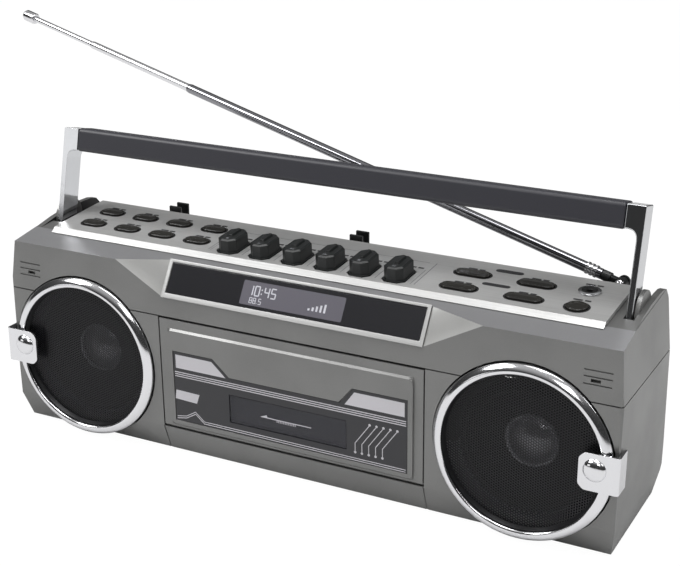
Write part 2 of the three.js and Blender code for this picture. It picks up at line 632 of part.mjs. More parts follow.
// Cassette door: a plate with a raised panel, a window opening, guides for the cassette and hinge pins.
function cassetteDoor() {
  const plate = extrude(outline([
    [frontY(DOOR_BOTTOM) + 1.2, DOOR_BOTTOM], [frontY(DOOR_BOTTOM), DOOR_BOTTOM + 1.2],
    [frontY(DOOR_TOP), DOOR_TOP], [DOOR_BACK, DOOR_TOP], [DOOR_BACK, DOOR_BOTTOM],
  ]), 'x', -DOOR_HALF, DOOR_HALF);
  const top = DOOR_TOP - DOOR_RAISED_TOP;
  const low = DOOR_BOTTOM + DOOR_RAISED_BOTTOM;
  const raised = extrude(outline([
    [frontY(low) + 1, low], [frontY(low), low], [frontY(low) - DOOR_RAISED_PROUD, low + 1.2],
    [frontY(top) - DOOR_RAISED_PROUD, top - 1.2], [frontY(top), top], [frontY(top) + 1, top],
  ]), 'x', -DOOR_RAISED_HALF, DOOR_RAISED_HALF);
  const seat = extrude(outline([
    [frontY(TRIM_BOTTOM) - 3, TRIM_BOTTOM - GAP], [frontY(TRIM_BOTTOM) + 0.3, TRIM_BOTTOM - GAP],
    [frontY(TRIM_TOP) + 0.3, TRIM_TOP + GAP], [frontY(TRIM_TOP) - 3, TRIM_TOP + GAP],
  ]), 'x', -DOOR_HALF, DOOR_HALF).intersect(extrude(trimOutline(GAP), 'y', FRONT - 9, FRONT + 9));
  const view = block(
    [-WINDOW_HALF - WINDOW_LAND, FRONT - 9, WINDOW_BOTTOM - WINDOW_LAND],
    [WINDOW_HALF + WINDOW_LAND, FRONT + 9, WINDOW_TOP + WINDOW_LAND],
  );
  const inner = CASSETTE_WIDTH / 2 + CASSETTE_SPACE;
  let door = plate.add(raised).subtract(seat);
  for (const [, side] of both) {
    const [near, far] = side > 0 ? [inner, inner + GUIDE_WALL] : [-inner - GUIDE_WALL, -inner];
    const [pinFrom, pinTo] = side > 0
      ? [DOOR_HALF - 1, DOOR_HALF + 0.5]
      : [-DOOR_HALF - 0.5, -DOOR_HALF + 1];
    door = door
      .add(block([near, DOOR_BACK - 1, GUIDE_BOTTOM], [far, DOOR_BACK + GUIDE_DEPTH, GUIDE_TOP]))
      .add(extrude(disc(DOOR_HINGE.y, DOOR_HINGE.z, HINGE_RADIUS * 0.6, 12), 'x', pinFrom, pinTo));
  }
  const shelf = block(
    [-inner, DOOR_BACK - 1, GUIDE_BOTTOM],
    [inner, DOOR_BACK + GUIDE_DEPTH, GUIDE_BOTTOM + GUIDE_WALL],
  );
  return door.add(shelf).subtract(view);
}

// The trim's outline stands higher at both ends; clearance widens it for the seat in the door.
function trimOutline(clearance) {
  const half = TRIM_HALF + clearance;
  const low = TRIM_BOTTOM - clearance;
  const high = TRIM_TOP + clearance;
  const middle = TRIM_NOTCH_TOP + clearance;
  return outline([
    [-half, low], [half, low], [half, high],
    [TRIM_NOTCH_RIGHT[1] - clearance, high], [TRIM_NOTCH_RIGHT[0] - clearance, middle],
    [TRIM_NOTCH_LEFT[1] + clearance, middle], [TRIM_NOTCH_LEFT[0] + clearance, high], [-half, high],
  ]);
}

function doorTrim() {
  const face = (z, off) => frontY(z) + off;
  const plate = extrude(outline([
    [face(TRIM_BOTTOM, -TRIM_THICKNESS), TRIM_BOTTOM], [face(TRIM_TOP, -TRIM_THICKNESS), TRIM_TOP],
    [face(TRIM_TOP, 0), TRIM_TOP], [face(TRIM_BOTTOM, 0), TRIM_BOTTOM],
  ]), 'x', -TRIM_HALF, TRIM_HALF);
  return plate
    .intersect(extrude(trimOutline(0), 'y', FRONT - 9, FRONT + 9))
    .subtract(block([-WINDOW_HALF, FRONT - 9, WINDOW_BOTTOM], [WINDOW_HALF, FRONT + 9, WINDOW_TOP]));
}

function doorWindow() {
  const sheet = (half, low, high, front) => extrude(outline([
    [frontY(low) + front, low], [frontY(high) + front, high],
    [frontY(high) + 1.6, high], [frontY(low) + 1.6, low],
  ]), 'x', -half, half);
  const flange = WINDOW_LAND - GAP;
  return sheet(WINDOW_HALF - GAP, WINDOW_BOTTOM + GAP, WINDOW_TOP - GAP, -TRIM_THICKNESS + 0.3)
    .add(sheet(WINDOW_HALF + flange, WINDOW_BOTTOM - flange, WINDOW_TOP + flange, GAP));
}

// Tape deck, on a plate behind the door.
function deckPlate() {
  let plate = block([-DECK_HALF, DECK_Y, DECK_BOTTOM], [DECK_HALF, DECK_Y + DECK_THICKNESS, DECK_TOP]);
  for (const x of [-HUB_SPACING / 2, HUB_SPACING / 2]) {
    plate = plate.subtract(extrude(disc(x, HUB_Z, 2.2 + GAP, 12), 'y', DECK_Y - 1, DECK_Y + 9));
  }
  const pinchZ = HEAD_Z + PINCH_RADIUS + 1.8;
  return plate
    .subtract(extrude(disc(CAPSTAN_X, HEAD_Z, 1.2 + GAP, 12), 'y', DECK_Y - 1, DECK_Y + 9))
    .subtract(extrude(disc(CAPSTAN_X, pinchZ, 1 + GAP, 12), 'y', DECK_Y - 1, DECK_Y + 9));
}

function reelSpindle(x) {
  const tip = DECK_Y - HUB_REACH;
  const hub = extrude(disc(x, HUB_Z, HUB_RADIUS - 1.4, 12), 'y', tip, DECK_Y - GAP)
    .add(extrude(disc(x, HUB_Z, HUB_RADIUS + 2.4, 20), 'y', DECK_Y - 2.3, DECK_Y - GAP))
    .add(extrude(disc(x, HUB_Z, 2.2, 12), 'y', DECK_Y - 1, DECK_Y + DECK_THICKNESS + 2));
  const fins = [0, 1, 2].map((i) => {
    const turn = new THREE.Matrix4().makeTranslation(x, 0, HUB_Z)
      .multiply(new THREE.Matrix4().makeRotationY(i * 2 * Math.PI / 3));
    return block([-0.6, tip + 1, 0], [0.6, DECK_Y - 1, HUB_RADIUS]).transform(turn.elements);
  });
  return fins.reduce((solid, fin) => solid.add(fin), hub);
}

function tapeHead() {
  return block([-8, DECK_Y - 9, HEAD_Z - 4], [8, DECK_Y - GAP, HEAD_Z + 4])
    .add(block([-12, DECK_Y - 1.8, HEAD_Z - 2], [12, DECK_Y - GAP, HEAD_Z + 7]));
}

function flywheel() {
  const back = DECK_Y + DECK_THICKNESS + GAP;
  return extrude(disc(CAPSTAN_X, HEAD_Z, 1.2, 12), 'y', DECK_Y - 10, back + 1)
    .add(extrude(disc(CAPSTAN_X, HEAD_Z, FLYWHEEL_RADIUS, 32), 'y', back, back + 4));
}

function pinchRoller() {
  const z = HEAD_Z + PINCH_RADIUS + 1.8;
  return extrude(disc(CAPSTAN_X, z, PINCH_RADIUS, 24), 'y', DECK_Y - 9, DECK_Y - 1)
    .add(extrude(disc(CAPSTAN_X, z, 1, 12), 'y', DECK_Y - 10, DECK_Y + DECK_THICKNESS - 0.4));
}

function deckMotor() {
  const back = DECK_Y + DECK_THICKNESS + GAP;
  return extrude(disc(-34, HEAD_Z - 10, 14, 28), 'y', back + 4, back + 26)
    .add(extrude(disc(-34, HEAD_Z - 10, 4, 16), 'y', back, back + 5));
}

// Handle, in a frame on its pivot with the arms upright.
function handleArm(side) {
  const grip = side * (GRIP_HALF + GAP);
  const outer = side * ARM_OUTER;
  const inner = side * ARM_INNER;
  const under = ARM_LENGTH - GRIP_HEIGHT + 2 * GRIP_OVER;
  const shape = new THREE.Shape();
  shape.moveTo(outer, -ARM_DEPTH / 2);
  shape.lineTo(outer, ARM_LENGTH);
  shape.lineTo(grip, ARM_LENGTH);
  shape.lineTo(grip, under);
  shape.lineTo(inner - side * FILLET, under);
  shape.quadraticCurveTo(inner, under, inner, under - FILLET);
  shape.lineTo(inner, -ARM_DEPTH / 2);
  shape.closePath();
  const side3 = new THREE.Shape();
  side3.moveTo(ARM_DEPTH / 2, ARM_LENGTH + 1);
  side3.lineTo(-ARM_DEPTH / 2, ARM_LENGTH + 1);
  side3.lineTo(-ARM_DEPTH / 2, 0);
  side3.absarc(0, 0, ARM_DEPTH / 2, Math.PI, 2 * Math.PI, false);
  side3.closePath();
  const [from, to] = side > 0 ? [ARM_INNER - 2.2, ARM_INNER + 1] : [-ARM_INNER - 1, -ARM_INNER + 2.2];
  return extrude(shape, 'y', -ARM_DEPTH / 2, ARM_DEPTH / 2)
    .intersect(extrude(side3, 'x', -HALF, HALF))
    .add(extrude(disc(0, 0, PIN_RADIUS, 16), 'x', from, to));
}

function handleGrip() {
  const middle = ARM_LENGTH + GRIP_OVER - GRIP_HEIGHT / 2;
  return extrude(cutRectangle(0, middle, GRIP_DEPTH, GRIP_HEIGHT, 1.6), 'x', -GRIP_HALF, GRIP_HALF);
}

// Aerial. The swivel's frame has its X axis along the aerial in plan, the tilt's frame along the tubes.
function aerialBase() {
  const foot = extrude(disc(0, 0, FORK_RADIUS + 2, 24), 'z', -AERIAL_HEIGHT + GAP, -AERIAL_HEIGHT + 1.7);
  const cheek = (y) => extrude(disc(0, 0, FORK_RADIUS, 20), 'y', y, y + FORK_WALL)
    .add(block([-FORK_RADIUS, y, -AERIAL_HEIGHT + 1], [FORK_RADIUS, y + FORK_WALL, 0]));
  const inner = TONGUE_WIDTH / 2 + GAP;
  return foot.add(cheek(inner)).add(cheek(-inner - FORK_WALL));
}

function aerialKnuckle() {
  return extrude(disc(0, 0, FORK_RADIUS - 0.3, 20), 'y', -TONGUE_WIDTH / 2, TONGUE_WIDTH / 2)
    .add(block([0, -TONGUE_WIDTH / 2, -1.7], [8, TONGUE_WIDTH / 2, 1.7]))
    .add(extrude(disc(0, 0, TUBE_DIAMETERS[0] / 2, 16), 'x', 6.5, TUBE_STARTS[0] - GAP));
}

function tube(index) {
  const radius = TUBE_DIAMETERS[index] / 2;
  const outer = extrude(disc(0, 0, radius, 16), 'x', TUBE_STARTS[index], TUBE_ENDS[index]);
  if (index === TUBE_DIAMETERS.length - 1) {
    const cap = disc(0, 0, TIP_DIAMETER / 2, 20);
    return outer.add(extrude(cap, 'x', TUBE_ENDS[index], TUBE_ENDS[index] + TIP_LENGTH));
  }
  const bore = disc(0, 0, radius - TUBE_WALL, 16);
  return outer.subtract(extrude(bore, 'x', TUBE_STARTS[index] + 1, TUBE_ENDS[index] + 1));
}

// A spring clip that holds the aerial when it is folded down.
function aerialClip(reach) {
  const x = AERIAL.x - reach;
  const bed = AERIAL.z - TUBE_DIAMETERS[0] / 2 - GAP;
  const half = TUBE_DIAMETERS[0] / 2 + GAP;
  const body = block(
    [x - CLIP_LENGTH / 2, AERIAL.y - CLIP_DEPTH / 2, LEDGE_Z + GAP],
    [x + CLIP_LENGTH / 2, AERIAL.y + CLIP_DEPTH / 2, LEDGE_Z + CLIP_HEIGHT],
  );
  return body.subtract(block([x - 9, AERIAL.y - half, bed], [x + 9, AERIAL.y + half, LEDGE_Z + 20]));
}

// Back.
function mainsInlet() {
  const face = rearY(INLET_Z);
  const body = block(
    [INLET_X - INLET_WIDTH / 2, face - INLET_DEPTH, INLET_Z - INLET_HEIGHT / 2],
    [INLET_X + INLET_WIDTH / 2, face - 0.2, INLET_Z + INLET_HEIGHT / 2],
  );
  const socket = stadium(INLET_X, INLET_Z, SOCKET_WIDTH, SOCKET_HEIGHT);
  return body.subtract(extrude(socket, 'y', face - SOCKET_DEPTH, face + 1));
}

function foot(y) {
  return block([-FOOT_LENGTH / 2, y, 0], [FOOT_LENGTH / 2, y + FOOT_WIDTH, FOOT_HEIGHT - GAP]);
}

// Controls on the panel. Each has its place, its outline and the hole round it.
const controls = [];
for (const [row, step] of [['front', 0], ['rear', 1]]) {
  for (let i = 0; i < OVAL_COLUMNS; i += 1) {
    controls.push({
      name: `${row}_button_${i + 1}`,
      x: -PANEL_HALF + OVAL_INSET + i * OVAL_PITCH,
      v: OVAL_V + step * OVAL_ROW_PITCH,
      length: OVAL_LENGTH,
      depth: OVAL_DEPTH,
    });
  }
}
for (const [row, step] of [['volume', 0], ['tuning', 1]]) {
  for (const [end, column] of [['down', 1], ['up', 0]]) {
    controls.push({
      name: `${row}_${end}_button`,
      x: PANEL_HALF - LONG_INSET - column * LONG_PITCH,
      v: LONG_V + step * LONG_ROW_PITCH,
      length: LONG_LENGTH,
      depth: LONG_DEPTH,
    });
  }
}
const roundX = PANEL_HALF - ROUND_INSET;
controls.push({
  name: 'round_button',
  x: roundX,
  v: ROUND_V,
  length: ROUND_DIAMETER,
  depth: ROUND_DIAMETER,
});
const keyNames = ['record_key', 'play_key', 'rewind_key', 'fast_forward_key', 'stop_eject_key', 'pause_key'];
const keyX = (i) => KEY_OFFSET_X + (i - (KEY_COUNT - 1) / 2) * KEY_PITCH;
const controlOutline = (x, v, length, depth) => (length > depth
  ? stadium(x, v, length, depth)
  : disc(x, v, depth / 2, 24));

const holes = controls.map(({ x, v, length, depth }) => (
  controlOutline(x, v, length + 2 * RUN, depth + 2 * RUN)));
keyNames.forEach((name, i) => {
  const margin = 2 * (KEY_SKIRT + RUN);
  holes.push(cutRectangle(keyX(i), KEY_CENTRE_V, KEY_WIDTH + margin, KEY_LENGTH + margin, KEY_CHAMFER));
});
holes.push(disc(roundX, JACK_V, JACK_DIAMETER / 2 - JACK_RIM + GAP, 20));

function headphoneJack() {
  return extrude(disc(0, 0, JACK_DIAMETER / 2, 24), 'z', GAP, 1.2)
    .add(extrude(disc(0, 0, JACK_DIAMETER / 2 - JACK_RIM, 20), 'z', -9, 0.9))
    .subtract(extrude(disc(0, 0, JACK_BORE / 2, 16), 'z', -8, 2));
}

// Display pieces, in a frame whose front plane is the display's face.
function displayBezel() {
  const sleeve = DISPLAY_HALF - BEZEL_LAND - GAP;
  const land = BEZEL_LAND + GAP;
  return block([-DISPLAY_HALF, 0, 0], [DISPLAY_HALF, DISPLAY_PROUD - GAP, DISPLAY_HEIGHT])
    .add(block([-sleeve, 0.2, land], [sleeve, BEZEL_SLEEVE, DISPLAY_HEIGHT - land]))
    .subtract(displayPane(0, -1, BEZEL_SLEEVE + 1));
}

function displayPane(inset, front, back) {
  const half = DISPLAY_HALF - BEZEL_RIM - inset;
  return block([-half, front, BEZEL_SILL + inset], [half, back, DISPLAY_HEIGHT - BEZEL_TOP - inset]);
}

// Assembly.
piece('lower_cabinet', lowerCabinet(), SILVER);
piece('upper_cabinet', upperCabinet(), SILVER);
piece('rear_cover', rearCover(), BLACK);
piece('battery_door', batteryDoorSolid(0), BLACK);
piece('mains_inlet', mainsInlet(), BLACK);
piece('front_foot', foot(FRONT + SILL_SET_BACK + FOOT_INSET), RUBBER);
piece('rear_foot', foot(REAR - REAR_TUCK - FOOT_INSET - FOOT_WIDTH), RUBBER);

piece('control_panel', controlPanel(holes), BRUSHED, panelFrame);
keyNames.forEach((name, i) => {
  piece(name, keySolid(), BLACK, panelFrame).position.set(keyX(i), KEY_CENTRE_V, 0);
});
for (const { name, x, v, length, depth } of controls) {
  const button = extrude(controlOutline(0, 0, length, depth), 'z', -BUTTON_STEM, BUTTON_PROUD);
  piece(name, button, GLOSS, panelFrame).position.set(x, v, 0);
}
piece('headphone_jack', headphoneJack(), GLOSS, panelFrame).position.set(roundX, JACK_V, 0);

piece('display_bezel', displayBezel(), BRUSHED, displayFrame);
piece('display_glass', displayPane(GAP, GAP, GAP + GLASS_THICKNESS), GLASS, displayFrame);
const moduleFront = 2 * GAP + GLASS_THICKNESS;
piece('display_module', displayPane(2, moduleFront, moduleFront + MODULE_THICKNESS), LCD, displayFrame);

piece('cassette_door', cassetteDoor(), SILVER);
piece('door_trim', doorTrim(), DARK_TRIM);
piece('door_window', doorWindow(), GLASS);
piece('tape_deck_plate', deckPlate(), STEEL);
piece('supply_spindle', reelSpindle(-HUB_SPACING / 2), BLACK);
piece('take_up_spindle', reelSpindle(HUB_SPACING / 2), BLACK);
piece('tape_head', tapeHead(), STEEL);
piece('capstan_flywheel', flywheel(), STEEL);
piece('pinch_roller', pinchRoller(), RUBBER);
piece('deck_motor', deckMotor(), STEEL);
piece('circuit_board', block(
  [-BOARD_HALF, PANEL_FRONT_Y + 4, BOARD_Z],
  [BOARD_HALF, PANEL_REAR_Y - 6, BOARD_Z + 1.6],
), BOARD);

for (const [end, side] of both) {
  piece(`speaker_ring_${end}`, speakerRing(side * SPEAKER_X), CHROME);
  piece(`speaker_grille_${end}`, speakerGrille(side * SPEAKER_X), BLACK);
  piece(`speaker_driver_${end}`, speakerDriver(side * SPEAKER_X), BLACK);
  piece(`corner_clasp_${end}`, clasp(side), CHROME);
  piece(`handle_arm_${end}`, handleArm(side), CHROME, handleFrame);
}
piece('handle_grip', handleGrip(), GRIP_BLACK, handleFrame);

piece('aerial_base', aerialBase(), BLACK, swivelFrame);
piece('aerial_knuckle', aerialKnuckle(), BLACK, tiltFrame);
TUBE_DIAMETERS.forEach((diameter, i) => piece(`aerial_tube_${i + 1}`, tube(i), CHROME, tiltFrame));
CLIP_REACHES.forEach((reach, i) => piece(`aerial_clip_${i + 1}`, aerialClip(reach), BLACK));

recorder.updateMatrixWorld(true);
export default recorder;
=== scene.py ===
import json
import math

import bmesh
import bpy
from bpy.props import FloatProperty, FloatVectorProperty, PointerProperty
from mathutils import Matrix, Vector


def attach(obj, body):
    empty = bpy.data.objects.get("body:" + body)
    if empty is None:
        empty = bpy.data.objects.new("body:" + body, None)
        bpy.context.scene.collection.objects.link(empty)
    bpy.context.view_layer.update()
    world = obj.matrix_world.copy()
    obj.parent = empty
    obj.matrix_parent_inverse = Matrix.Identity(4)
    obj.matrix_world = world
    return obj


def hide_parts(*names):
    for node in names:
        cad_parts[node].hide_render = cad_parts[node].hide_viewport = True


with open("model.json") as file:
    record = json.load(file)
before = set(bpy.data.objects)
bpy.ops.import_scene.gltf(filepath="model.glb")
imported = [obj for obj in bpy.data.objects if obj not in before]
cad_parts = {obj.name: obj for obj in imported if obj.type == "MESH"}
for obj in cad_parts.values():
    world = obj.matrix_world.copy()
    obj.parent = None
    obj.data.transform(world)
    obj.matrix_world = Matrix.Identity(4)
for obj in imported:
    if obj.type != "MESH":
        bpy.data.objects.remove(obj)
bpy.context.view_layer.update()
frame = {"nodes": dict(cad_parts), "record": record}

bl_info = {
    "name": "Radio Cassette Recorder",
    "version": (1, 0, 0),
    "blender": (4, 5, 0),
    "location": "View3D > Sidebar > Recorder",
    "description": "Builds a portable radio-cassette recorder round its packed frame",
    "category": "Object",
}

MM = 0.001

# Places on the recorder, in millimetres.
SEAM_Z = 87.6
SILL_Z = 17.6
FRONT_Y = -43.0
FRONT_RAKE = 1.7
REAR_Y = 42.3
REAR_RAKE = 5.6
HOOD_Y = -42.65
HOOD_RAKE = 2.55
DOOR_GAP_X = 83.4
CLASP_Z = 52.4
SPEAKER_X = 138.4
SPEAKER_Z = 51.9
PANEL_ORIGIN = (0, -20.7, 122.5)
PANEL_TILT = math.radians(4.1)
DISPLAY_ORIGIN = (0, -42.8, 99.7)
DISPLAY_LEAN = math.radians(31.3)
AERIAL_PIVOT = (163.1, 35.0, 123.8)
AERIAL_SWING = math.radians(9.1)
AERIAL_TILT = math.radians(12.2)
ENDS = (("left", -1), ("right", 1))

# Places on the control panel, as X and the distance V behind its front lip.
KEY_NAMES = ("record_key", "play_key", "rewind_key", "fast_forward_key", "stop_eject_key", "pause_key")
KEY_PITCH = 21.0
KEY_MIDDLE = -1.0
KEY_X = [KEY_MIDDLE + (i - 2.5) * KEY_PITCH for i in range(len(KEY_NAMES))]
KEY_V = 13.2
OVAL_X = (-152.5, -127.9, -103.3, -78.7)
OVAL_V = (13, 32.3)
LONG_X = (87.6, 124.2)
LONG_V = (10.9, 30.5)
ROUND_X = 152.9
ROUND_V = 11.2
JACK_V = 32.2

# Modelling limits, in millimetres, and the looks of the stage.
MERGE = 0.002
SHEET_MERGE = 0.02
ROW_STEP = 0.866
BRUSH_STRETCH = 60
CAMERA_PLACE = (0.3583, -0.6680, 0.3814)
CAMERA_TURN = (math.radians(70.16), 0, math.radians(27.44))
CAMERA_LENS = 75.16
CAMERA_SENSOR = 36
FLOOR_TONE = 0.72
FLOOR_GLOW = 1.06
FLOOR_GLOW_SHARE = 0.92
SKY_STRENGTH = 0.8
SKY_LEVELS = ((0.2, 0.05), (0.5, 0.09), (0.7, 0.4))
AIM = Vector((0, 0, 0.07))
# Name, place and size in metres, power in watts.
LIGHTS = (
    ("key_light", (-1.7, -1.1, 2.1), (1.0, 1.0), 34),
    ("front_light", (1.1, -2.0, 2.0), (0.9, 0.9), 11),
    ("side_light", (2.2, 0.2, 1.7), (0.8, 0.8), 12),
    ("top_light", (0.2, -0.2, 2.4), (1.4, 1.0), 30),
    ("left_card", (-1.6, -1.7, 0.5), (0.9, 0.5), 1.4),
)


def frame_at(origin, *turns):
    """Matrix of a local frame in metres, from its origin in millimetres and its turns as (angle, axis)."""
    matrix = Matrix.Translation(Vector(origin) * MM)
    for angle, axis in turns:
        matrix = matrix @ Matrix.Rotation(angle, 4, axis)
    return matrix


def on_panel(x, v):
    """Frame of a spot on the control panel."""
    return PANEL @ Matrix.Translation(Vector((x, v, 0)) * MM)


PANEL = frame_at(PANEL_ORIGIN, (PANEL_TILT, "X"))
DISPLAY = frame_at(DISPLAY_ORIGIN, (-DISPLAY_LEAN, "X"))
AERIAL_TURN = frame_at(AERIAL_PIVOT, (math.pi - AERIAL_SWING, "Z"))
AERIAL = AERIAL_TURN @ Matrix.Rotation(-AERIAL_TILT, 4, "Y")
FACING_FRONT = Matrix.Rotation(math.pi / 2, 4, "X")
FACING_BACK = Matrix.Rotation(-math.pi / 2, 4, "X")
ALONG_X = Matrix(((0, 0, 1, 0), (1, 0, 0, 0), (0, 1, 0, 0), (0, 0, 0, 1)))
BODY_OF = {node: body for body, nodes in frame["record"]["behaviour"]["bodies"].items() for node in nodes}


def shade(red, green, blue):
    """A linear colour from its display values, 0 to 255."""
    return tuple(c / 255 / 12.92 if c < 11 else ((c / 255 + 0.055) / 1.055) ** 2.4
                 for c in (red, green, blue))


def front_y(z):
    """The front face's Y at a height, in millimetres."""
    return FRONT_Y + FRONT_RAKE * (SEAM_Z - z) / (SEAM_Z - SILL_Z)


def rear_y(z):
    """The back's Y at a height, in millimetres."""
    return REAR_Y + REAR_RAKE * (SEAM_Z - z) / (SEAM_Z - 14)


def hood_y(z):
    """The upper front face's Y at a height, in millimetres."""
    return HOOD_Y + HOOD_RAKE * (z - 88.2) / 28.4


# The plane of the trim sheet on the door.
DOOR_LEAN = math.atan(FRONT_RAKE / (SEAM_Z - SILL_Z))
DOOR_FACE = frame_at((0, front_y(0) - 0.9, 0), (math.pi / 2 + DOOR_LEAN, "X"))


# Modelling helpers.
def clear_selection():
    """Object mode with nothing selected."""
    if bpy.context.object and bpy.context.object.mode != "OBJECT":
        bpy.ops.object.mode_set(mode="OBJECT")
    bpy.ops.object.select_all(action="DESELECT")


def take(obj):
    """Makes one piece the selected and active one."""
    clear_selection()
    obj.select_set(True)
    bpy.context.view_layer.objects.active = obj
    return obj


def open_mesh(obj, mode="FACE"):
    """Edit mode with nothing selected."""
    take(obj)
    bpy.ops.object.mode_set(mode="EDIT")
    bpy.ops.mesh.select_mode(type=mode)
    bpy.ops.mesh.select_all(action="DESELECT")


def close_mesh():
    """Back to object mode."""
    bpy.ops.object.mode_set(mode="OBJECT")


def pick(obj, kind, test):
    """Selects the faces, edges or vertices that pass a test, in edit mode, and says how many there are."""
    mesh = bmesh.from_edit_mesh(obj.data)
    found = 0
    for element in getattr(mesh, kind):
        chosen = bool(test(element))
        element.select_set(chosen)
        found += chosen
    mesh.select_flush_mode()
    bmesh.update_edit_mesh(obj.data)
    return found


def modify(obj, kind, **settings):
    """Adds a modifier and applies it."""
    take(obj)
    modifier = obj.modifiers.new(kind.title(), kind)
    for key, value in settings.items():
        setattr(modifier, key, value)
    bpy.ops.object.modifier_apply(modifier=modifier.name)
    return obj


def tidy_mesh(obj):
    """Merges doubles and turns every face outward."""
    open_mesh(obj)
    bpy.ops.mesh.select_all(action="SELECT")
    bpy.ops.mesh.remove_doubles(threshold=MERGE * MM)
    bpy.ops.mesh.normals_make_consistent(inside=False)
    close_mesh()
    return obj


def soften(obj, width, segments=3, angle=30, smooth=38):
    """Rounds the sharp edges and keeps the flats flat."""
    if width:
        modify(obj, "BEVEL", width=width * MM, segments=segments, limit_method="ANGLE",
               angle_limit=math.radians(angle), miter_outer="MITER_ARC", use_clamp_overlap=True)
    take(obj)
    bpy.ops.object.shade_smooth_by_angle(angle=math.radians(smooth))
    modify(obj, "WEIGHTED_NORMAL", keep_sharp=True, weight=50)
    return obj


def place(obj, matrix):
    """Moves the mesh from its local frame to its place; the object itself stays at the origin."""
    obj.data.transform(matrix)
    obj.data.update()
    return obj


def finish_piece(obj, name, body, material, replaces=()):
    """Names a piece, gives it its finish and body, and hides the frame nodes it stands for."""
    obj.name = name
    obj.data.name = name
    obj.data.materials.clear()
    for one in material if isinstance(material, (list, tuple)) else [material]:
        obj.data.materials.append(MATERIALS[one]())
    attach(obj, body)
    if replaces:
        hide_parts(*replaces)
    return obj


def block(low, high):
    """A box between two corners, in millimetres."""
    clear_selection()
    centre = (Vector(low) + Vector(high)) / 2
    bpy.ops.mesh.primitive_cube_add(size=1, location=centre * MM)
    obj = bpy.context.object
    obj.scale = (Vector(high) - Vector(low)) * MM
    bpy.ops.object.transform_apply(location=True, rotation=True, scale=True)
    return obj


def slab(outline, low, high):
    """A flat outline in X and Y, pushed along Z from low to high."""
    clear_selection()
    bpy.ops.mesh.primitive_circle_add(vertices=len(outline), radius=1, fill_type="NGON")
    obj = bpy.context.object
    for vertex, (x, y) in zip(obj.data.vertices, outline):
        vertex.co = Vector((x, y, low)) * MM
    open_mesh(obj)
    bpy.ops.mesh.select_all(action="SELECT")
    bpy.ops.mesh.extrude_region_move(TRANSFORM_OT_translate={"value": (0, 0, (high - low) * MM)})
    close_mesh()
    return tidy_mesh(obj)


def lathe(profile, steps=48):
    """A profile of (radius, height) turned about Z. It starts and ends on the axis, or closes on itself."""
    clear_selection()
    on_axis = profile[0][0] == 0
    bpy.ops.mesh.primitive_circle_add(vertices=len(profile), radius=1)
    obj = bpy.context.object
    for vertex, (radius, height) in zip(obj.data.vertices, profile):
        vertex.co = Vector((radius, 0, height)) * MM
    last = len(profile) - 1
    open_mesh(obj, "EDGE")
    if on_axis and pick(obj, "edges", lambda e: {v.index for v in e.verts} == {0, last}):
        bpy.ops.mesh.delete(type="EDGE")
    bpy.ops.mesh.select_all(action="SELECT")
    bpy.ops.mesh.spin(steps=steps, angle=2 * math.pi, center=(0, 0, 0), axis=(0, 0, 1))
    close_mesh()
    return tidy_mesh(obj)


def join(first, *others):
    """Makes one piece of several, without welding them."""
    take(first)
    for obj in others:
        obj.select_set(True)
    bpy.ops.object.join()
    return first


def cut(obj, *cutters):
    """Takes the cutters out of a piece and removes them."""
    for cutter in cutters:
        modify(obj, "BOOLEAN", object=cutter, operation="DIFFERENCE", solver="EXACT")
        bpy.data.objects.remove(cutter)
    return obj


def carried(node):
    """A merged copy of a frame node's mesh, for a finer piece that replaces it."""
    obj = bpy.data.objects.new(node + "_fine", frame["nodes"][node].data.copy())
    bpy.context.scene.collection.objects.link(obj)
    open_mesh(obj)
    bpy.ops.mesh.select_all(action="SELECT")
    bpy.ops.mesh.customdata_custom_splitnormals_clear()
    bpy.ops.mesh.remove_doubles(threshold=MERGE * MM)
    bpy.ops.mesh.dissolve_limited(angle_limit=math.radians(0.5))
    close_mesh()
    return obj


def stadium(length, depth, steps=10):
    """An oblong outline with half-round ends."""
    reach = (length - depth) / 2
    points = []
    for side, start in ((1, -math.pi / 2), (-1, math.pi / 2)):
        for i in range(steps + 1):
            turn = start + math.pi * i / steps
            points.append((side * reach + depth / 2 * math.cos(turn), depth / 2 * math.sin(turn)))
    return points


def round_rectangle(width, height, radius, steps=5, centre=(0, 0)):
    """A rectangle outline with round corners."""
    points = []
    corners = ((1, -1), (1, 1), (-1, 1), (-1, -1))
    for i, (sx, sy) in enumerate(corners):
        for k in range(steps + 1):
            turn = -math.pi / 2 + math.pi / 2 * (i + k / steps)
            points.append((centre[0] + sx * (width / 2 - radius) + radius * math.cos(turn),
                           centre[1] + sy * (height / 2 - radius) + radius * math.sin(turn)))
    return points


def ring_outline(radius, steps=32):
    """A round outline."""
    return [(radius * math.cos(2 * math.pi * i / steps), radius * math.sin(2 * math.pi * i / steps))
            for i in range(steps)]


def stroke(points, width):
    """The outline of a drawn line of even width through some points."""
    points = [Vector(p) for p in points]
    left, right = [], []
    for i, point in enumerate(points):
        before = (point - points[i - 1]).normalized() if i else (points[1] - point).normalized()
        after = (points[i + 1] - point).normalized() if i < len(points) - 1 else before
        along = (before + after).normalized()
        across = Vector((-along.y, along.x))
        reach = width / 2 / max(0.3, abs(across.dot(Vector((-before.y, before.x)))))
        left.append(tuple(point + across * reach))
        right.append(tuple(point - across * reach))
    return right + left[::-1]


def rail(profile, low, high):
    """A Y-Z outline pushed along X from low to high, in millimetres."""
    return place(slab(profile, low, high), ALONG_X)


def twin(obj, matrix):
    """A copy with its own mesh, moved by a matrix."""
    copy = bpy.data.objects.new(obj.name, obj.data.copy())
    bpy.context.scene.collection.objects.link(copy)
    return place(copy, matrix)


def discard(obj):
    """Removes a model that was only copied from."""
    bpy.data.objects.remove(obj)


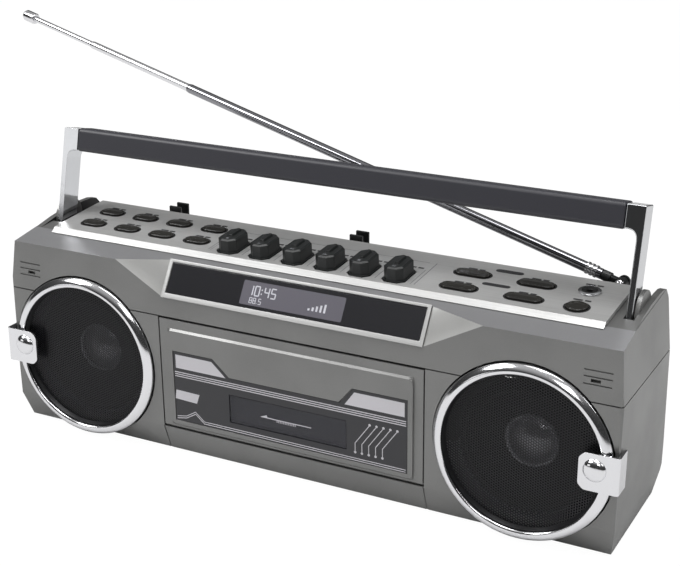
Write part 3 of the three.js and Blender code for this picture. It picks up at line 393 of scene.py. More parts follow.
def recast(node, material, width=0.4, segments=2, cutters=(), smooth=38):
    """Replaces a frame node by a finer copy with rounded edges."""
    obj = carried(node)
    cut(obj, *cutters)
    soften(obj, width, segments, smooth=smooth)
    return finish_piece(obj, node + "_shell", BODY_OF[node], material, (node,))


def print_on(plane, name, body, material, slot, *outlines, height=0.06):
    """Printed shapes: flat outlines a hair above a plane, joined as one piece."""
    shapes = [slab(outline, -0.02, height) for outline in outlines]
    obj = join(*shapes) if len(shapes) > 1 else shapes[0]
    place(obj, plane)
    return finish_piece(obj, name, body, material)


def union(obj, *others):
    """Welds pieces into one closed mesh."""
    for other in others:
        modify(obj, "BOOLEAN", object=other, operation="UNION", solver="EXACT")
        discard(other)
    return obj


def move(outline, x, y):
    """An outline shifted in its own plane."""
    return [(a + x, b + y) for a, b in outline]


def octagon(width, length, corner):
    """A rectangle outline with cut corners."""
    w, l = width / 2, length / 2
    return [(-w + corner, -l), (w - corner, -l), (w, -l + corner), (w, l - corner),
            (w - corner, l), (-w + corner, l), (-w, l - corner), (-w, -l + corner)]


def segments(letter, x, y, height):
    """The strokes of one seven-segment figure."""
    w, h = height * 0.5, height
    lines = {"a": ((0, h), (w, h)), "b": ((w, h), (w, h / 2)), "c": ((w, h / 2), (w, 0)),
             "d": ((0, 0), (w, 0)), "e": ((0, h / 2), (0, 0)), "f": ((0, h), (0, h / 2)),
             "g": ((0, h / 2), (w, h / 2))}
    parts = {"0": "abcdef", "1": "bc", "4": "fgbc", "5": "afgcd", "8": "abcdefg"}
    if letter == ":":
        return [((x, y + h * k), (x, y + h * (k + 0.14))) for k in (0.2, 0.62)]
    if letter == ".":
        return [((x, y), (x, y + h * 0.14))]
    return [tuple((x + a, y + b) for a, b in lines[key]) for key in parts[letter]]


def rim(outer, inner, x, y):
    """A flat dark ring round a hole, in the panel's frame."""
    obj = slab(move(outer, x, y), -0.05, 0.12)
    return cut(obj, slab(move(inner, x, y), -1, 1))


def dished(outline, dish):
    """A low button with a hollow in its top."""
    obj = slab(outline, -4.2, 1.15)
    open_mesh(obj)
    pick(obj, "faces", lambda f: f.normal.z > 0.9)
    bpy.ops.mesh.inset(thickness=1.1 * MM, depth=0)
    bpy.ops.mesh.inset(thickness=0.9 * MM, depth=-dish * MM)
    close_mesh()
    return soften(obj, 0.3, 3, angle=12, smooth=50)


def perforated(radius, pitch, wall):
    """A thin sheet of hexagonal holes: one cell copied in offset columns over a disc."""
    clear_selection()
    bpy.ops.mesh.primitive_circle_add(vertices=6, radius=pitch / math.sqrt(3) * MM, fill_type="NGON")
    obj = bpy.context.object
    for vertex in obj.data.vertices:
        vertex.co = Matrix.Rotation(math.radians(30), 3, "Z") @ vertex.co
    open_mesh(obj)
    bpy.ops.mesh.select_all(action="SELECT")
    bpy.ops.mesh.inset(thickness=wall / 2 * MM, depth=0)
    bpy.ops.mesh.delete(type="FACE")
    close_mesh()
    rows = int(2 * radius / (pitch * ROW_STEP)) + 2
    columns = int(2 * radius / pitch) + 2
    step = Vector((0, pitch, 0))
    skew = Vector((pitch * ROW_STEP, pitch / 2, 0))
    cell = obj.data.copy()
    cells = []
    for row in range(-rows // 2, rows // 2 + 1):
        for column in range(-columns, columns + 1):
            spot = step * column + skew * row
            if spot.length < radius + pitch / 2:
                cells.append(spot)
    discard(obj)
    mesh = bmesh.new()
    for spot in cells:
        first = len(mesh.verts)
        mesh.from_mesh(cell)
        mesh.verts.ensure_lookup_table()
        for vertex in mesh.verts[first:]:
            vertex.co += spot * MM
    bmesh.ops.remove_doubles(mesh, verts=mesh.verts, dist=SHEET_MERGE * MM)
    sheet = bpy.data.meshes.new("grille_sheet")
    mesh.to_mesh(sheet)
    mesh.free()
    obj = bpy.data.objects.new("grille_sheet", sheet)
    bpy.context.scene.collection.objects.link(obj)
    place(obj, Matrix.Translation((0, 0, -1.5 * MM)))
    return modify(obj, "SOLIDIFY", thickness=0.5 * MM, offset=-1)


# Shader groups.
def group_of(name, inputs, outputs):
    """An empty shader group with its named sockets, and its two ends."""
    group = bpy.data.node_groups.new(name, "ShaderNodeTree")
    for label, kind, default in inputs:
        socket = group.interface.new_socket(label, in_out="INPUT", socket_type=kind)
        socket.default_value = default
    for label, kind in outputs:
        group.interface.new_socket(label, in_out="OUTPUT", socket_type=kind)
    return group, group.nodes.new("NodeGroupInput"), group.nodes.new("NodeGroupOutput")


def surface_group(name, stretch):
    """Colour, roughness and height of a moulded or brushed surface; stretch draws the grain out along X."""
    if name in bpy.data.node_groups:
        return bpy.data.node_groups[name]
    group, start, end = group_of(
        name,
        (("Colour", "NodeSocketColor", (0.5, 0.5, 0.5, 1)),
         ("Worn Colour", "NodeSocketColor", (0.4, 0.4, 0.4, 1)), ("Scale", "NodeSocketFloat", 900),
         ("Roughness", "NodeSocketFloat", 0.4), ("Spread", "NodeSocketFloat", 0.08)),
        (("Colour", "NodeSocketColor"), ("Roughness", "NodeSocketFloat"), ("Height", "NodeSocketFloat")))
    nodes, links = group.nodes, group.links
    coordinates = nodes.new("ShaderNodeTexCoord")
    mapping = nodes.new("ShaderNodeMapping")
    mapping.inputs["Scale"].default_value = (1 / stretch, 1, 1)
    fine = nodes.new("ShaderNodeTexNoise")
    fine.inputs["Detail"].default_value = 3
    broad = nodes.new("ShaderNodeTexNoise")
    broad.inputs["Scale"].default_value = 26
    broad.inputs["Detail"].default_value = 4
    patches = nodes.new("ShaderNodeMapRange")
    patches.inputs["From Min"].default_value = 0.38
    patches.inputs["From Max"].default_value = 0.68
    speckle = nodes.new("ShaderNodeMath")
    speckle.operation = "MULTIPLY_ADD"
    speckle.inputs[1].default_value = 0.5
    mix = nodes.new("ShaderNodeMix")
    mix.data_type = "RGBA"
    rough = nodes.new("ShaderNodeMath")
    rough.operation = "MULTIPLY_ADD"
    links.new(coordinates.outputs["Object"], mapping.inputs["Vector"])
    links.new(mapping.outputs["Vector"], fine.inputs["Vector"])
    links.new(start.outputs["Scale"], fine.inputs["Scale"])
    links.new(coordinates.outputs["Object"], broad.inputs["Vector"])
    links.new(broad.outputs["Fac"], patches.inputs["Value"])
    links.new(patches.outputs["Result"], speckle.inputs[0])
    links.new(fine.outputs["Fac"], speckle.inputs[2])
    half = nodes.new("ShaderNodeMath")
    half.operation = "SUBTRACT"
    half.inputs[1].default_value = 0.5
    half.use_clamp = True
    links.new(speckle.outputs[0], half.inputs[0])
    links.new(half.outputs[0], mix.inputs["Factor"])
    links.new(start.outputs["Colour"], mix.inputs["A"])
    links.new(start.outputs["Worn Colour"], mix.inputs["B"])
    links.new(half.outputs[0], rough.inputs[0])
    links.new(start.outputs["Spread"], rough.inputs[1])
    links.new(start.outputs["Roughness"], rough.inputs[2])
    links.new(mix.outputs["Result"], end.inputs["Colour"])
    links.new(rough.outputs[0], end.inputs["Roughness"])
    links.new(fine.outputs["Fac"], end.inputs["Height"])
    return group


def surface(name, colour, roughness, metallic=0.0, scale=1400, relief=0.12, spread=0.1, worn=0.82,
            brushed=False, coat=0.0, transmission=0.0, gloss=0.5):
    """One finish, made on first use."""
    if name in bpy.data.materials:
        return bpy.data.materials[name]
    material = bpy.data.materials.new(name)
    material.use_nodes = True
    nodes, links = material.node_tree.nodes, material.node_tree.links
    shader = nodes["Principled BSDF"]
    grain = nodes.new("ShaderNodeGroup")
    grain.node_tree = (surface_group("Brushed Grain", BRUSH_STRETCH) if brushed
                       else surface_group("Moulded Grain", 1))
    grain.inputs["Colour"].default_value = (*colour, 1)
    grain.inputs["Worn Colour"].default_value = (*(channel * worn for channel in colour), 1)
    grain.inputs["Scale"].default_value = scale
    grain.inputs["Roughness"].default_value = roughness
    grain.inputs["Spread"].default_value = spread
    bump = nodes.new("ShaderNodeBump")
    bump.inputs["Strength"].default_value = relief
    bump.inputs["Distance"].default_value = 0.1 * MM
    links.new(grain.outputs["Colour"], shader.inputs["Base Color"])
    links.new(grain.outputs["Roughness"], shader.inputs["Roughness"])
    links.new(grain.outputs["Height"], bump.inputs["Height"])
    links.new(bump.outputs["Normal"], shader.inputs["Normal"])
    shader.inputs["Metallic"].default_value = metallic
    shader.inputs["Coat Weight"].default_value = coat
    shader.inputs["Coat Roughness"].default_value = 0.06
    shader.inputs["Transmission Weight"].default_value = transmission
    shader.inputs["Specular IOR Level"].default_value = gloss
    return material


def sizes():
    """The settings that the panel shows."""
    return bpy.context.scene.recorder


# Every finish, made when a piece first asks for it, so the settings' colours count.
MATERIALS = {
    "silver": lambda: surface("silver_paint", sizes().body_colour, 0.32, metallic=0.55, scale=2600,
                              relief=0.1),
    # Painted light: the shoulder takes its own lighter copy of the silver paint, standing in for the light on
    # its upward face.
    "shoulder": lambda: surface("shoulder_paint", sizes().shoulder_lit_colour, 0.36, metallic=0.55, scale=2600),
    # Painted highlight: a lighter copy of the silver paint for the facets beside the display and the
    # shoulder's rounded front edge, standing in for the light from above.
    "facet": lambda: surface("facet_paint", shade(196, 196, 194), 0.32, metallic=0.45, scale=2600,
                             relief=0.1),
    # Painted reflection: a darker copy of the chrome for the lowest aerial tube, standing in for the dark
    # surroundings it reflects.
    "lower_chrome": lambda: surface("aerial_chrome", (0.3, 0.3, 0.32), 0.08, metallic=1.0, scale=300,
                                    relief=0.0, spread=0.04, worn=0.9),
    "panel": lambda: surface("brushed_panel", sizes().panel_colour, 0.33, metallic=0.5, scale=1100,
                             relief=0.35, brushed=True, worn=0.74),
    "chrome": lambda: surface("bright_chrome", (0.82, 0.83, 0.85), 0.06, metallic=1.0, scale=300, relief=0.0,
                              spread=0.05, worn=0.94),
    "dark_chrome": lambda: surface("arm_chrome", (0.72, 0.73, 0.75), 0.08, metallic=1.0, scale=300,
                                   relief=0.0, spread=0.05, worn=0.94),
    "black": lambda: surface("black_plastic", shade(36, 38, 38), 0.42, scale=2200, relief=0.25, worn=1.25),
    "key": lambda: surface("key_plastic", sizes().key_colour, 0.38, scale=2200, relief=0.25, worn=1.3),
    "button": lambda: surface("button_gloss", sizes().button_colour, 0.16, scale=1500, relief=0.05, coat=0.5),
    "grip": lambda: surface("grip_plastic", sizes().grip_colour, 0.34, scale=2400, relief=0.2, worn=1.2,
                            gloss=0.05),
    "trim": lambda: surface("dark_trim", shade(18, 18, 21), 0.45, scale=900, relief=0.06, gloss=0.05),
    "print": lambda: surface("light_print", shade(205, 203, 208), 0.35, scale=1200, relief=0.05,
                             worn=0.94),
    "grey_print": lambda: surface("grey_print", shade(120, 120, 124), 0.35, scale=1200, relief=0.05),
    "dark_print": lambda: surface("dark_print", shade(44, 44, 46), 0.4, scale=1200, relief=0.05),
    "glass": lambda: surface("display_glass", shade(38, 38, 41), 0.05, scale=400, relief=0.01, coat=0.6,
                             spread=0.05, worn=0.95),
    "window": lambda: surface("smoked_window", shade(138, 138, 146), 0.06, scale=400, relief=0.01,
                              spread=0.04, worn=0.95, transmission=0.55),
    "lcd": lambda: surface("lcd_grey", sizes().lcd_colour, 0.18, scale=1500, relief=0.02, coat=0.4,
                           worn=0.95),
    "segment": lambda: surface("lcd_segment", shade(202, 202, 210), 0.3, scale=1500, relief=0.02),
    "rubber": lambda: surface("foot_rubber", shade(28, 28, 28), 0.75, scale=1500, relief=0.4, worn=1.3),
    "mesh": lambda: surface("grille_black", shade(36, 36, 38), 0.32, metallic=0.3, scale=2400, relief=0.1,
                            worn=1.3),
    "cone": lambda: surface("speaker_paper", shade(11, 11, 12), 0.65, scale=700, relief=0.5, worn=1.4,
                            gloss=0.2),
    "cap": lambda: surface("dust_cap", shade(185, 185, 190), 0.22, metallic=0.7, scale=900, relief=0.1),
    "steel": lambda: surface("plated_steel", shade(170, 172, 175), 0.3, metallic=1.0, scale=500, relief=0.1,
                             brushed=True),
    "board": lambda: surface("circuit_board", shade(40, 92, 56), 0.45, scale=300, relief=0.2),
    # Black for the button rims and the jack's bore; painted shade where it lines the handle well and the door
    # gaps.
    "dark": lambda: surface("slot_black", shade(18, 18, 19), 0.55, scale=1500, relief=0.2, worn=1.4),
}


def assign(node, material):
    """Gives a frame node its finish."""
    frame["nodes"][node].material_slots[0].material = MATERIALS[material]()


class RecorderSettings(bpy.types.PropertyGroup):
    """Sizes and colours that may be changed before the pieces are built."""

    body_colour: FloatVectorProperty(name="Body", description="Silver paint of the cabinet", size=3,
                                     subtype="COLOR", default=shade(130, 130, 129))
    # The shoulder's colour is painted light: a lighter tone of the same silver paint, for the light falling on
    # its upward face.
    shoulder_lit_colour: FloatVectorProperty(name="Shoulder", description="Paint of the sloping shoulder", size=3,
                                         subtype="COLOR", default=shade(158, 158, 160))
    panel_colour: FloatVectorProperty(name="Panel", description="Brushed control panel", size=3,
                                      subtype="COLOR", default=shade(198, 198, 197))
    key_colour: FloatVectorProperty(name="Keys", description="Cassette keys", size=3,
                                    subtype="COLOR", default=shade(27, 29, 29))
    button_colour: FloatVectorProperty(name="Buttons", description="Glossy panel buttons", size=3,
                                       subtype="COLOR", default=shade(38, 37, 34))
    grip_colour: FloatVectorProperty(name="Grip", description="Carry grip", size=3,
                                     subtype="COLOR", default=shade(13, 13, 16))
    lcd_colour: FloatVectorProperty(name="Display", description="Liquid crystal behind the glass", size=3,
                                    subtype="COLOR", default=shade(100, 98, 106))
    rounding: FloatProperty(name="Rounding", description="Rounded edge of the cabinet", unit="LENGTH",
                            precision=5, default=0.85 * MM, min=0.1 * MM, max=1.5 * MM)
    mesh_pitch: FloatProperty(name="Grille pitch", description="Spacing of the grille's holes",
                              unit="LENGTH", precision=5, default=1.55 * MM, min=1.2 * MM, max=4 * MM)
    mesh_wall: FloatProperty(name="Grille wall", description="Metal between two holes", unit="LENGTH",
                             precision=5, default=0.48 * MM, min=0.2 * MM, max=MM)
    dish: FloatProperty(name="Button dish", description="Hollow in a button's top", unit="LENGTH",
                        precision=5, default=0.45 * MM, min=0, max=0.8 * MM)


class RECORDER_OT_cabinet(bpy.types.Operator):
    """Lower and upper cabinet halves with their grooves"""

    bl_idname = "recorder.cabinet"
    bl_label = "Cabinet"

    def execute(self, context):
        rounding = sizes().rounding / MM
        grooves = [rail(((-50, -2), (-34.5, 0.5), (-40.8, 17.9), (-50, 17.9)), x - 0.5, x + 0.5)
                   for x in (-83.6, 83.6)]
        recast("lower_cabinet", "silver", rounding, 3, cutters=grooves)
        lines = []
        for _, side in ENDS:
            for z in (104.3, 100.9, 97.0):
                ends = sorted((side * 168.5, side * 183.3))
                lines.append(block((ends[0], -46, z - 0.4), (ends[1], hood_y(z) + 0.7, z + 0.4)))
            ends = sorted((side * 172.3, side * 177.4))
            lines.append(block((ends[0], -46, 98.0), (ends[1], hood_y(99) + 2.2, 99.8)))
        finishes = ["silver", "shoulder", "dark", "facet"]
        hood = recast("upper_cabinet", finishes, rounding * 0.85, 3, cutters=lines)
        for face in hood.data.polygons:
            x, y, z = face.center / MM
            facing = face.normal
            # Painted light: the upward shoulder faces get the lighter copy of the silver paint.
            on_shoulder = facing.z > 0.95 and facing.y < -0.1 and y < -19
            # Painted highlight: the shoulder's rounded front edge and the facets beside the display take the
            # lighter copy of the silver paint, in place of the light falling on them.
            on_front_edge = 0.3 < facing.z < 0.93 and facing.y < -0.3 and z > 114 and y < -38
            beside_display = 0.25 < facing.z < 0.92 and 81 < abs(x) < 115 and y < -20 and face.area > 2e-5
            # Painted shade: the inner walls of the handle well turn black for the shade inside it.
            in_handle_well = 175.5 < abs(x) < 184 and y > -8 and z < 119 and facing.z < 0.8
            if on_shoulder:
                face.material_index = finishes.index("shoulder")
            elif on_front_edge or beside_display:
                face.material_index = finishes.index("facet")
            elif in_handle_well:
                face.material_index = finishes.index("dark")
        return {"FINISHED"}


class RECORDER_OT_back(bpy.types.Operator):
    """Rear cover with vents and screws, battery door, mains inlet and feet"""

    bl_idname = "recorder.back"
    bl_label = "Back"

    def execute(self, context):
        cutters = []
        for _, side in ENDS:
            for i in range(7):
                z = 52 + i * 3.6
                ends = sorted((side * 96, side * 140))
                cutters.append(block((ends[0], rear_y(z) - 9, z), (ends[1], rear_y(z) + 9, z + 1.6)))
        recast("rear_cover", "black", 0.5, 2, cutters=cutters)
        grips = [place(slab(round_rectangle(46, 1.5, 0.7), -0.6, 0.5),
                       Matrix.Translation(Vector((0, rear_y(z), z)) * MM) @ FACING_BACK)
                 for z in (61, 64.5, 68, 71.5)]
        door = carried("battery_door")
        soften(door, 0.4, 2)
        grip = join(*[soften(one, 0.3, 2) for one in grips])
        finish_piece(door, "battery_door_shell", "battery_door", "black", ("battery_door",))
        finish_piece(grip, "battery_door_ribs", "battery_door", "black")
        head = lathe(((0, 0.9), (2.2, 0.6), (3.1, 0), (3.1, -1.4), (0, -1.4)), 32)
        cut(head, block((-1.9, -0.35, 0.1), (1.9, 0.35, 2)), block((-0.35, -1.9, 0.1), (0.35, 1.9, 2)))
        soften(head, 0.08, 1)
        heads = [twin(head, Matrix.Translation(Vector((x, rear_y(z) + 0.2, z)) * MM) @ FACING_BACK)
                 for x in (-165, 165) for z in (22, 77)]
        discard(head)
        finish_piece(join(*heads), "cover_screws", "cabinet", "steel")
        recast("mains_inlet", "black", 0.3, 2)
        pin = lathe(((0, 6.6), (0.7, 6.4), (1.1, 5.8), (1.1, 0), (0, 0)), 20)
        pins = [twin(pin, Matrix.Translation(Vector((-125 + dx, rear_y(32) - 9, 32)) * MM) @ FACING_BACK)
                for dx in (-4, 4)]
        discard(pin)
        finish_piece(join(*[soften(one, 0) for one in pins]), "inlet_pins", "cabinet", "steel")
        for node in ("front_foot", "rear_foot"):
            recast(node, "rubber", 0.5, 2)
        return {"FINISHED"}


class RECORDER_OT_panel(bpy.types.Operator):
    """Brushed control panel with its printed marks and the rims round its holes"""

    bl_idname = "recorder.panel"
    bl_label = "Control panel"

    def execute(self, context):
        recast("control_panel", "panel", 0.25, 2)
        lines = [stroke(((x, 4.5), (x, 25)), 0.35)
                 for x in (KEY_X[0] - KEY_PITCH / 2, *(x + KEY_PITCH / 2 for x in KEY_X))]
        lines += [stroke(((x, 5), (x, 36)), 0.5) for x in (-65.6, 64.2)]
        lines += [stroke(((-60, 35.5), (60, 35.5)), 0.3)]
        print_on(PANEL, "panel_lines", "cabinet", "grey_print", "brushed_plate", *lines, height=0.04)
        pills = [move(stadium(16, 4), 105.3, 40.3), move(stadium(16, 3.6), 105, 20.9)]
        dashes = [(x + 4, 27) for x in KEY_X]
        dashes += [(x, v) for x in OVAL_X for v in (20.2, 39.4)]
        dashes += [(x, v) for x in LONG_X for v in (17.6, 37.2)]
        dashes += [(ROUND_X, 20.4), (ROUND_X, 41.2)]
        for x, v in dashes:
            pills += [move(round_rectangle(5.2, 1.7, 0.3), x - 2.4, v),
                      move(round_rectangle(3.4, 1.7, 0.3), x + 3, v)]
        print_on(PANEL, "panel_legends", "cabinet", "dark_print", "brushed_plate", *pills, height=0.05)
        rims = []
        for x in OVAL_X:
            rims += [rim(stadium(17.6, 10.4), stadium(16.1, 8.9), x, v) for v in OVAL_V]
        for x in LONG_X:
            rims += [rim(stadium(22.4, 10), stadium(20.9, 8.5), x, v) for v in LONG_V]
        rims.append(rim(ring_outline(7.1), ring_outline(6.25), ROUND_X, ROUND_V))
        obj = join(*rims)
        place(obj, PANEL)
        finish_piece(obj, "button_rims", "cabinet", "dark")
        return {"FINISHED"}


class RECORDER_OT_keys(bpy.types.Operator):
    """Six cassette keys, modelled once and copied"""

    bl_idname = "recorder.keys"
    bl_label = "Cassette keys"

    def execute(self, context):
        shank = slab(octagon(11.8, 19.6, 3.4), -7, 7.3)
        open_mesh(shank)
        pick(shank, "faces", lambda f: f.normal.z > 0.9)
        bpy.ops.mesh.inset(thickness=1.1 * MM, depth=0.9 * MM)
        bpy.ops.mesh.inset(thickness=0.5 * MM, depth=-0.3 * MM)
        close_mesh()
        ridge = slab(round_rectangle(4.6, 12.4, 1.4, 4, (0, 1.9)), 6, 9.15)
        open_mesh(ridge)
        pick(ridge, "faces", lambda f: f.normal.z > 0.9)
        bpy.ops.transform.resize(value=(0.5, 0.86, 1))
        close_mesh()
        skirt = slab(octagon(13.4, 21.2, 3.4), -1.6, 0.5)
        key = union(shank, ridge, skirt)
        soften(key, 0.22, 2, angle=25)
        symbols = {
            "record_key": (ring_outline(1.3, 24),),
            "play_key": (((-1.2, -1.3), (1.5, 0), (-1.2, 1.3)),),
            "rewind_key": (((0, -1.2), (0, 1.2), (-2, 0)), ((2, -1.2), (2, 1.2), (0, 0))),
            "fast_forward_key": (((-2, -1.2), (0, 0), (-2, 1.2)), ((0, -1.2), (2, 0), (0, 1.2))),
            "stop_eject_key": (((-1.2, -1.2), (1.2, -1.2), (1.2, 1.2), (-1.2, 1.2)),),
            "pause_key": (((-1.3, -1.2), (-0.4, -1.2), (-0.4, 1.2), (-1.3, 1.2)),
                          ((0.4, -1.2), (1.3, -1.2), (1.3, 1.2), (0.4, 1.2))),
        }
        ledge = Matrix.Translation(Vector((0, -6.2, 7.92)) * MM) @ Matrix.Scale(0.7, 4)
        for x, name in zip(KEY_X, KEY_NAMES):
            spot = on_panel(x, KEY_V)
            finish_piece(twin(key, spot), name + "_cap", name, "key", (name,))
            print_on(spot @ ledge, name + "_mark", name, "grey_print", "black_plastic", *symbols[name])
        discard(key)
        return {"FINISHED"}


class RECORDER_OT_buttons(bpy.types.Operator):
    """Oval, long and round buttons and the headphone jack"""

    bl_idname = "recorder.buttons"
    bl_label = "Buttons and jack"

    def execute(self, context):
        dish = sizes().dish / MM
        oval = dished(stadium(15.2, 8), dish)
        bar = dished(stadium(20, 7.6), dish)
        knob = dished(ring_outline(5.8), dish)
        spots = [(f"{row}_button_{i + 1}", oval, x, v) for row, v in zip(("front", "rear"), OVAL_V)
                 for i, x in enumerate(OVAL_X)]
        spots += [(f"{row}_{end}_button", bar, x, v) for row, v in zip(("volume", "tuning"), LONG_V)
                  for end, x in zip(("down", "up"), LONG_X)]
        spots.append(("round_button", knob, ROUND_X, ROUND_V))
        for name, model, x, v in spots:
            obj = twin(model, on_panel(x, v))
            finish_piece(obj, name + "_cap", name, "button", (name,))
        for model in (oval, bar, knob):
            discard(model)
        jack = lathe(((1.8, -8), (1.8, 0.5), (2.2, 0.9), (3.4, 0.9), (3.9, 0.6), (4.3, 1.25), (5.6, 1.25),
                      (6.1, 0.9), (6.1, 0.3), (4.6, 0.3), (4.6, -9), (1.8, -9)), 48)
        soften(jack, 0)
        spot = on_panel(ROUND_X, JACK_V)
        place(jack, spot)
        finish_piece(jack, "headphone_jack_socket", "cabinet", ["dark_chrome", "dark"],
                     ("headphone_jack",))
        for face in jack.data.polygons:
            if (spot.inverted() @ face.center).xy.length < 4.2 * MM:
                face.material_index = 1
        return {"FINISHED"}


class RECORDER_OT_display(bpy.types.Operator):
    """Display bezel, glass and liquid crystal with its figures"""

    bl_idname = "recorder.display"
    bl_label = "Display"

    def execute(self, context):
        recast("display_bezel", "panel", 0.3, 2)
        recast("display_glass", "glass", 0.15, 2)
        assign("display_module", "lcd")
        plane = DISPLAY @ Matrix.Rotation(math.pi / 2, 4, "X")
        plane = plane @ Matrix.Translation((0, 0, -0.3 * MM))
        print_on(plane, "display_crystal", "cabinet", "lcd", "display_grey",
                 round_rectangle(63.6, 13.7, 0.8, 4, (0.8, 11.65)), height=0.05)
        figures = []
        for text, x, y, height in (("10:45", -27, 10.6, 5.4), ("88.5", -25, 6.2, 3)):
            for letter in text:
                figures += [stroke(line, height * 0.13) for line in segments(letter, x, y, height)]
                x += height * (0.35 if letter in ":." else 0.78)
        figures += [stroke(((12 + i * 2.4, 8), (12 + i * 2.4, 9.2 + i * 0.9)), 1.2) for i in range(5)]
        print_on(plane, "display_figures", "cabinet", "segment", "display_grey", *figures, height=0.1)
        return {"FINISHED"}


class RECORDER_OT_door(bpy.types.Operator):
    """Cassette door with its trim, window and printed marks"""

    bl_idname = "recorder.door"
    bl_label = "Cassette door"

    def execute(self, context):
        door = carried("cassette_door")
        open_mesh(door, "EDGE")
        pick(door, "edges", lambda e: all(abs(abs(v.co.x) - 77.4 * MM) < 0.1 * MM for v in e.verts)
             and 0.5 * MM < e.calc_length() < 3 * MM and all(v.co.y < -41 * MM for v in e.verts))
        bpy.ops.mesh.bevel(offset=2.6 * MM, segments=5)
        close_mesh()
        soften(door, 0.5, 3)
        finish_piece(door, "cassette_door_shell", "cassette_door", "silver",
                     ("cassette_door",))
        # Painted shade: black strips standing in the door gaps, in place of the shade inside them.
        gap_shades = [block((x - 0.28, FRONT_Y + 2.2, 20), (x + 0.28, FRONT_Y + 4.2, 86.5))
                  for x in (-DOOR_GAP_X, DOOR_GAP_X)]
        finish_piece(join(*gap_shades), "door_gap_liner", "cabinet", "dark")
        recast("door_trim", "trim", 0.2, 2)
        recast("door_window", "window", 0.2, 2)
        tabs = [((-72.6, 57.9), (-39.2, 57.9), (-48.3, 66.2), (-72.6, 66.2)),
                ((36.6, 57.9), (72.6, 57.9), (72.6, 66.2), (42.6, 66.2))]
        block_mark = ((-74, 38.2), (-59.4, 37.6), (-57.4, 43.5), (-73.1, 43.9))
        stripes = [stroke(((-73.5, z), (73.5, z)), 0.55) for z in (55.4, 54.1, 52.8)]
        waves = [stroke(((-73.4, z), (-67, z + 1.2), (-60.7, z + 5), (-54.9, z), (73.3, z - 0.6)), 0.45)
                 for z in (26.9, 25.6)]
        bends = []
        for i in range(5):
            x = 51.8 + 4.15 * i
            bends.append(stroke(((x, 48.3), (x - 8.9, 35.8), (x - 8.9, 30.4)), 0.42))
            bends += [move(ring_outline(0.75, 16), x, 48.5), move(ring_outline(0.75, 16), x - 8.9, 30.2)]
        print_on(DOOR_FACE, "door_tabs", "cassette_door", "print", "dark_trim", *tabs, block_mark)
        print_on(DOOR_FACE, "door_stripes", "cassette_door", "print", "dark_trim", *stripes, *waves, *bends)
        comb = [((-17.3, 38.4), (-6, 38.3), (15.5, 38.3), (15.5, 38.8), (-6, 38.8), (-12.6, 38.9),
                 (-13, 40.2))]
        comb += [stroke(((x * 1.06, 38.4), (x * 1.06, 37)), 0.42) for x in range(-6, 6)]
        glass = DOOR_FACE @ Matrix.Translation((0, 0, -0.3 * MM))
        print_on(glass, "window_arrow", "cassette_door", "print", "smoked_window", *comb)
        return {"FINISHED"}


class RECORDER_OT_deck(bpy.types.Operator):
    """Tape deck, circuit board and the other works inside"""

    bl_idname = "recorder.deck"
    bl_label = "Works"

    def execute(self, context):
        for node, material in (("tape_deck_plate", "steel"), ("tape_head", "steel"), ("deck_motor", "steel"),
                               ("circuit_board", "board"), ("capstan_flywheel", "steel"),
                               ("pinch_roller", "rubber"), ("supply_spindle", "key"),
                               ("take_up_spindle", "key")):
            assign(node, material)
        return {"FINISHED"}


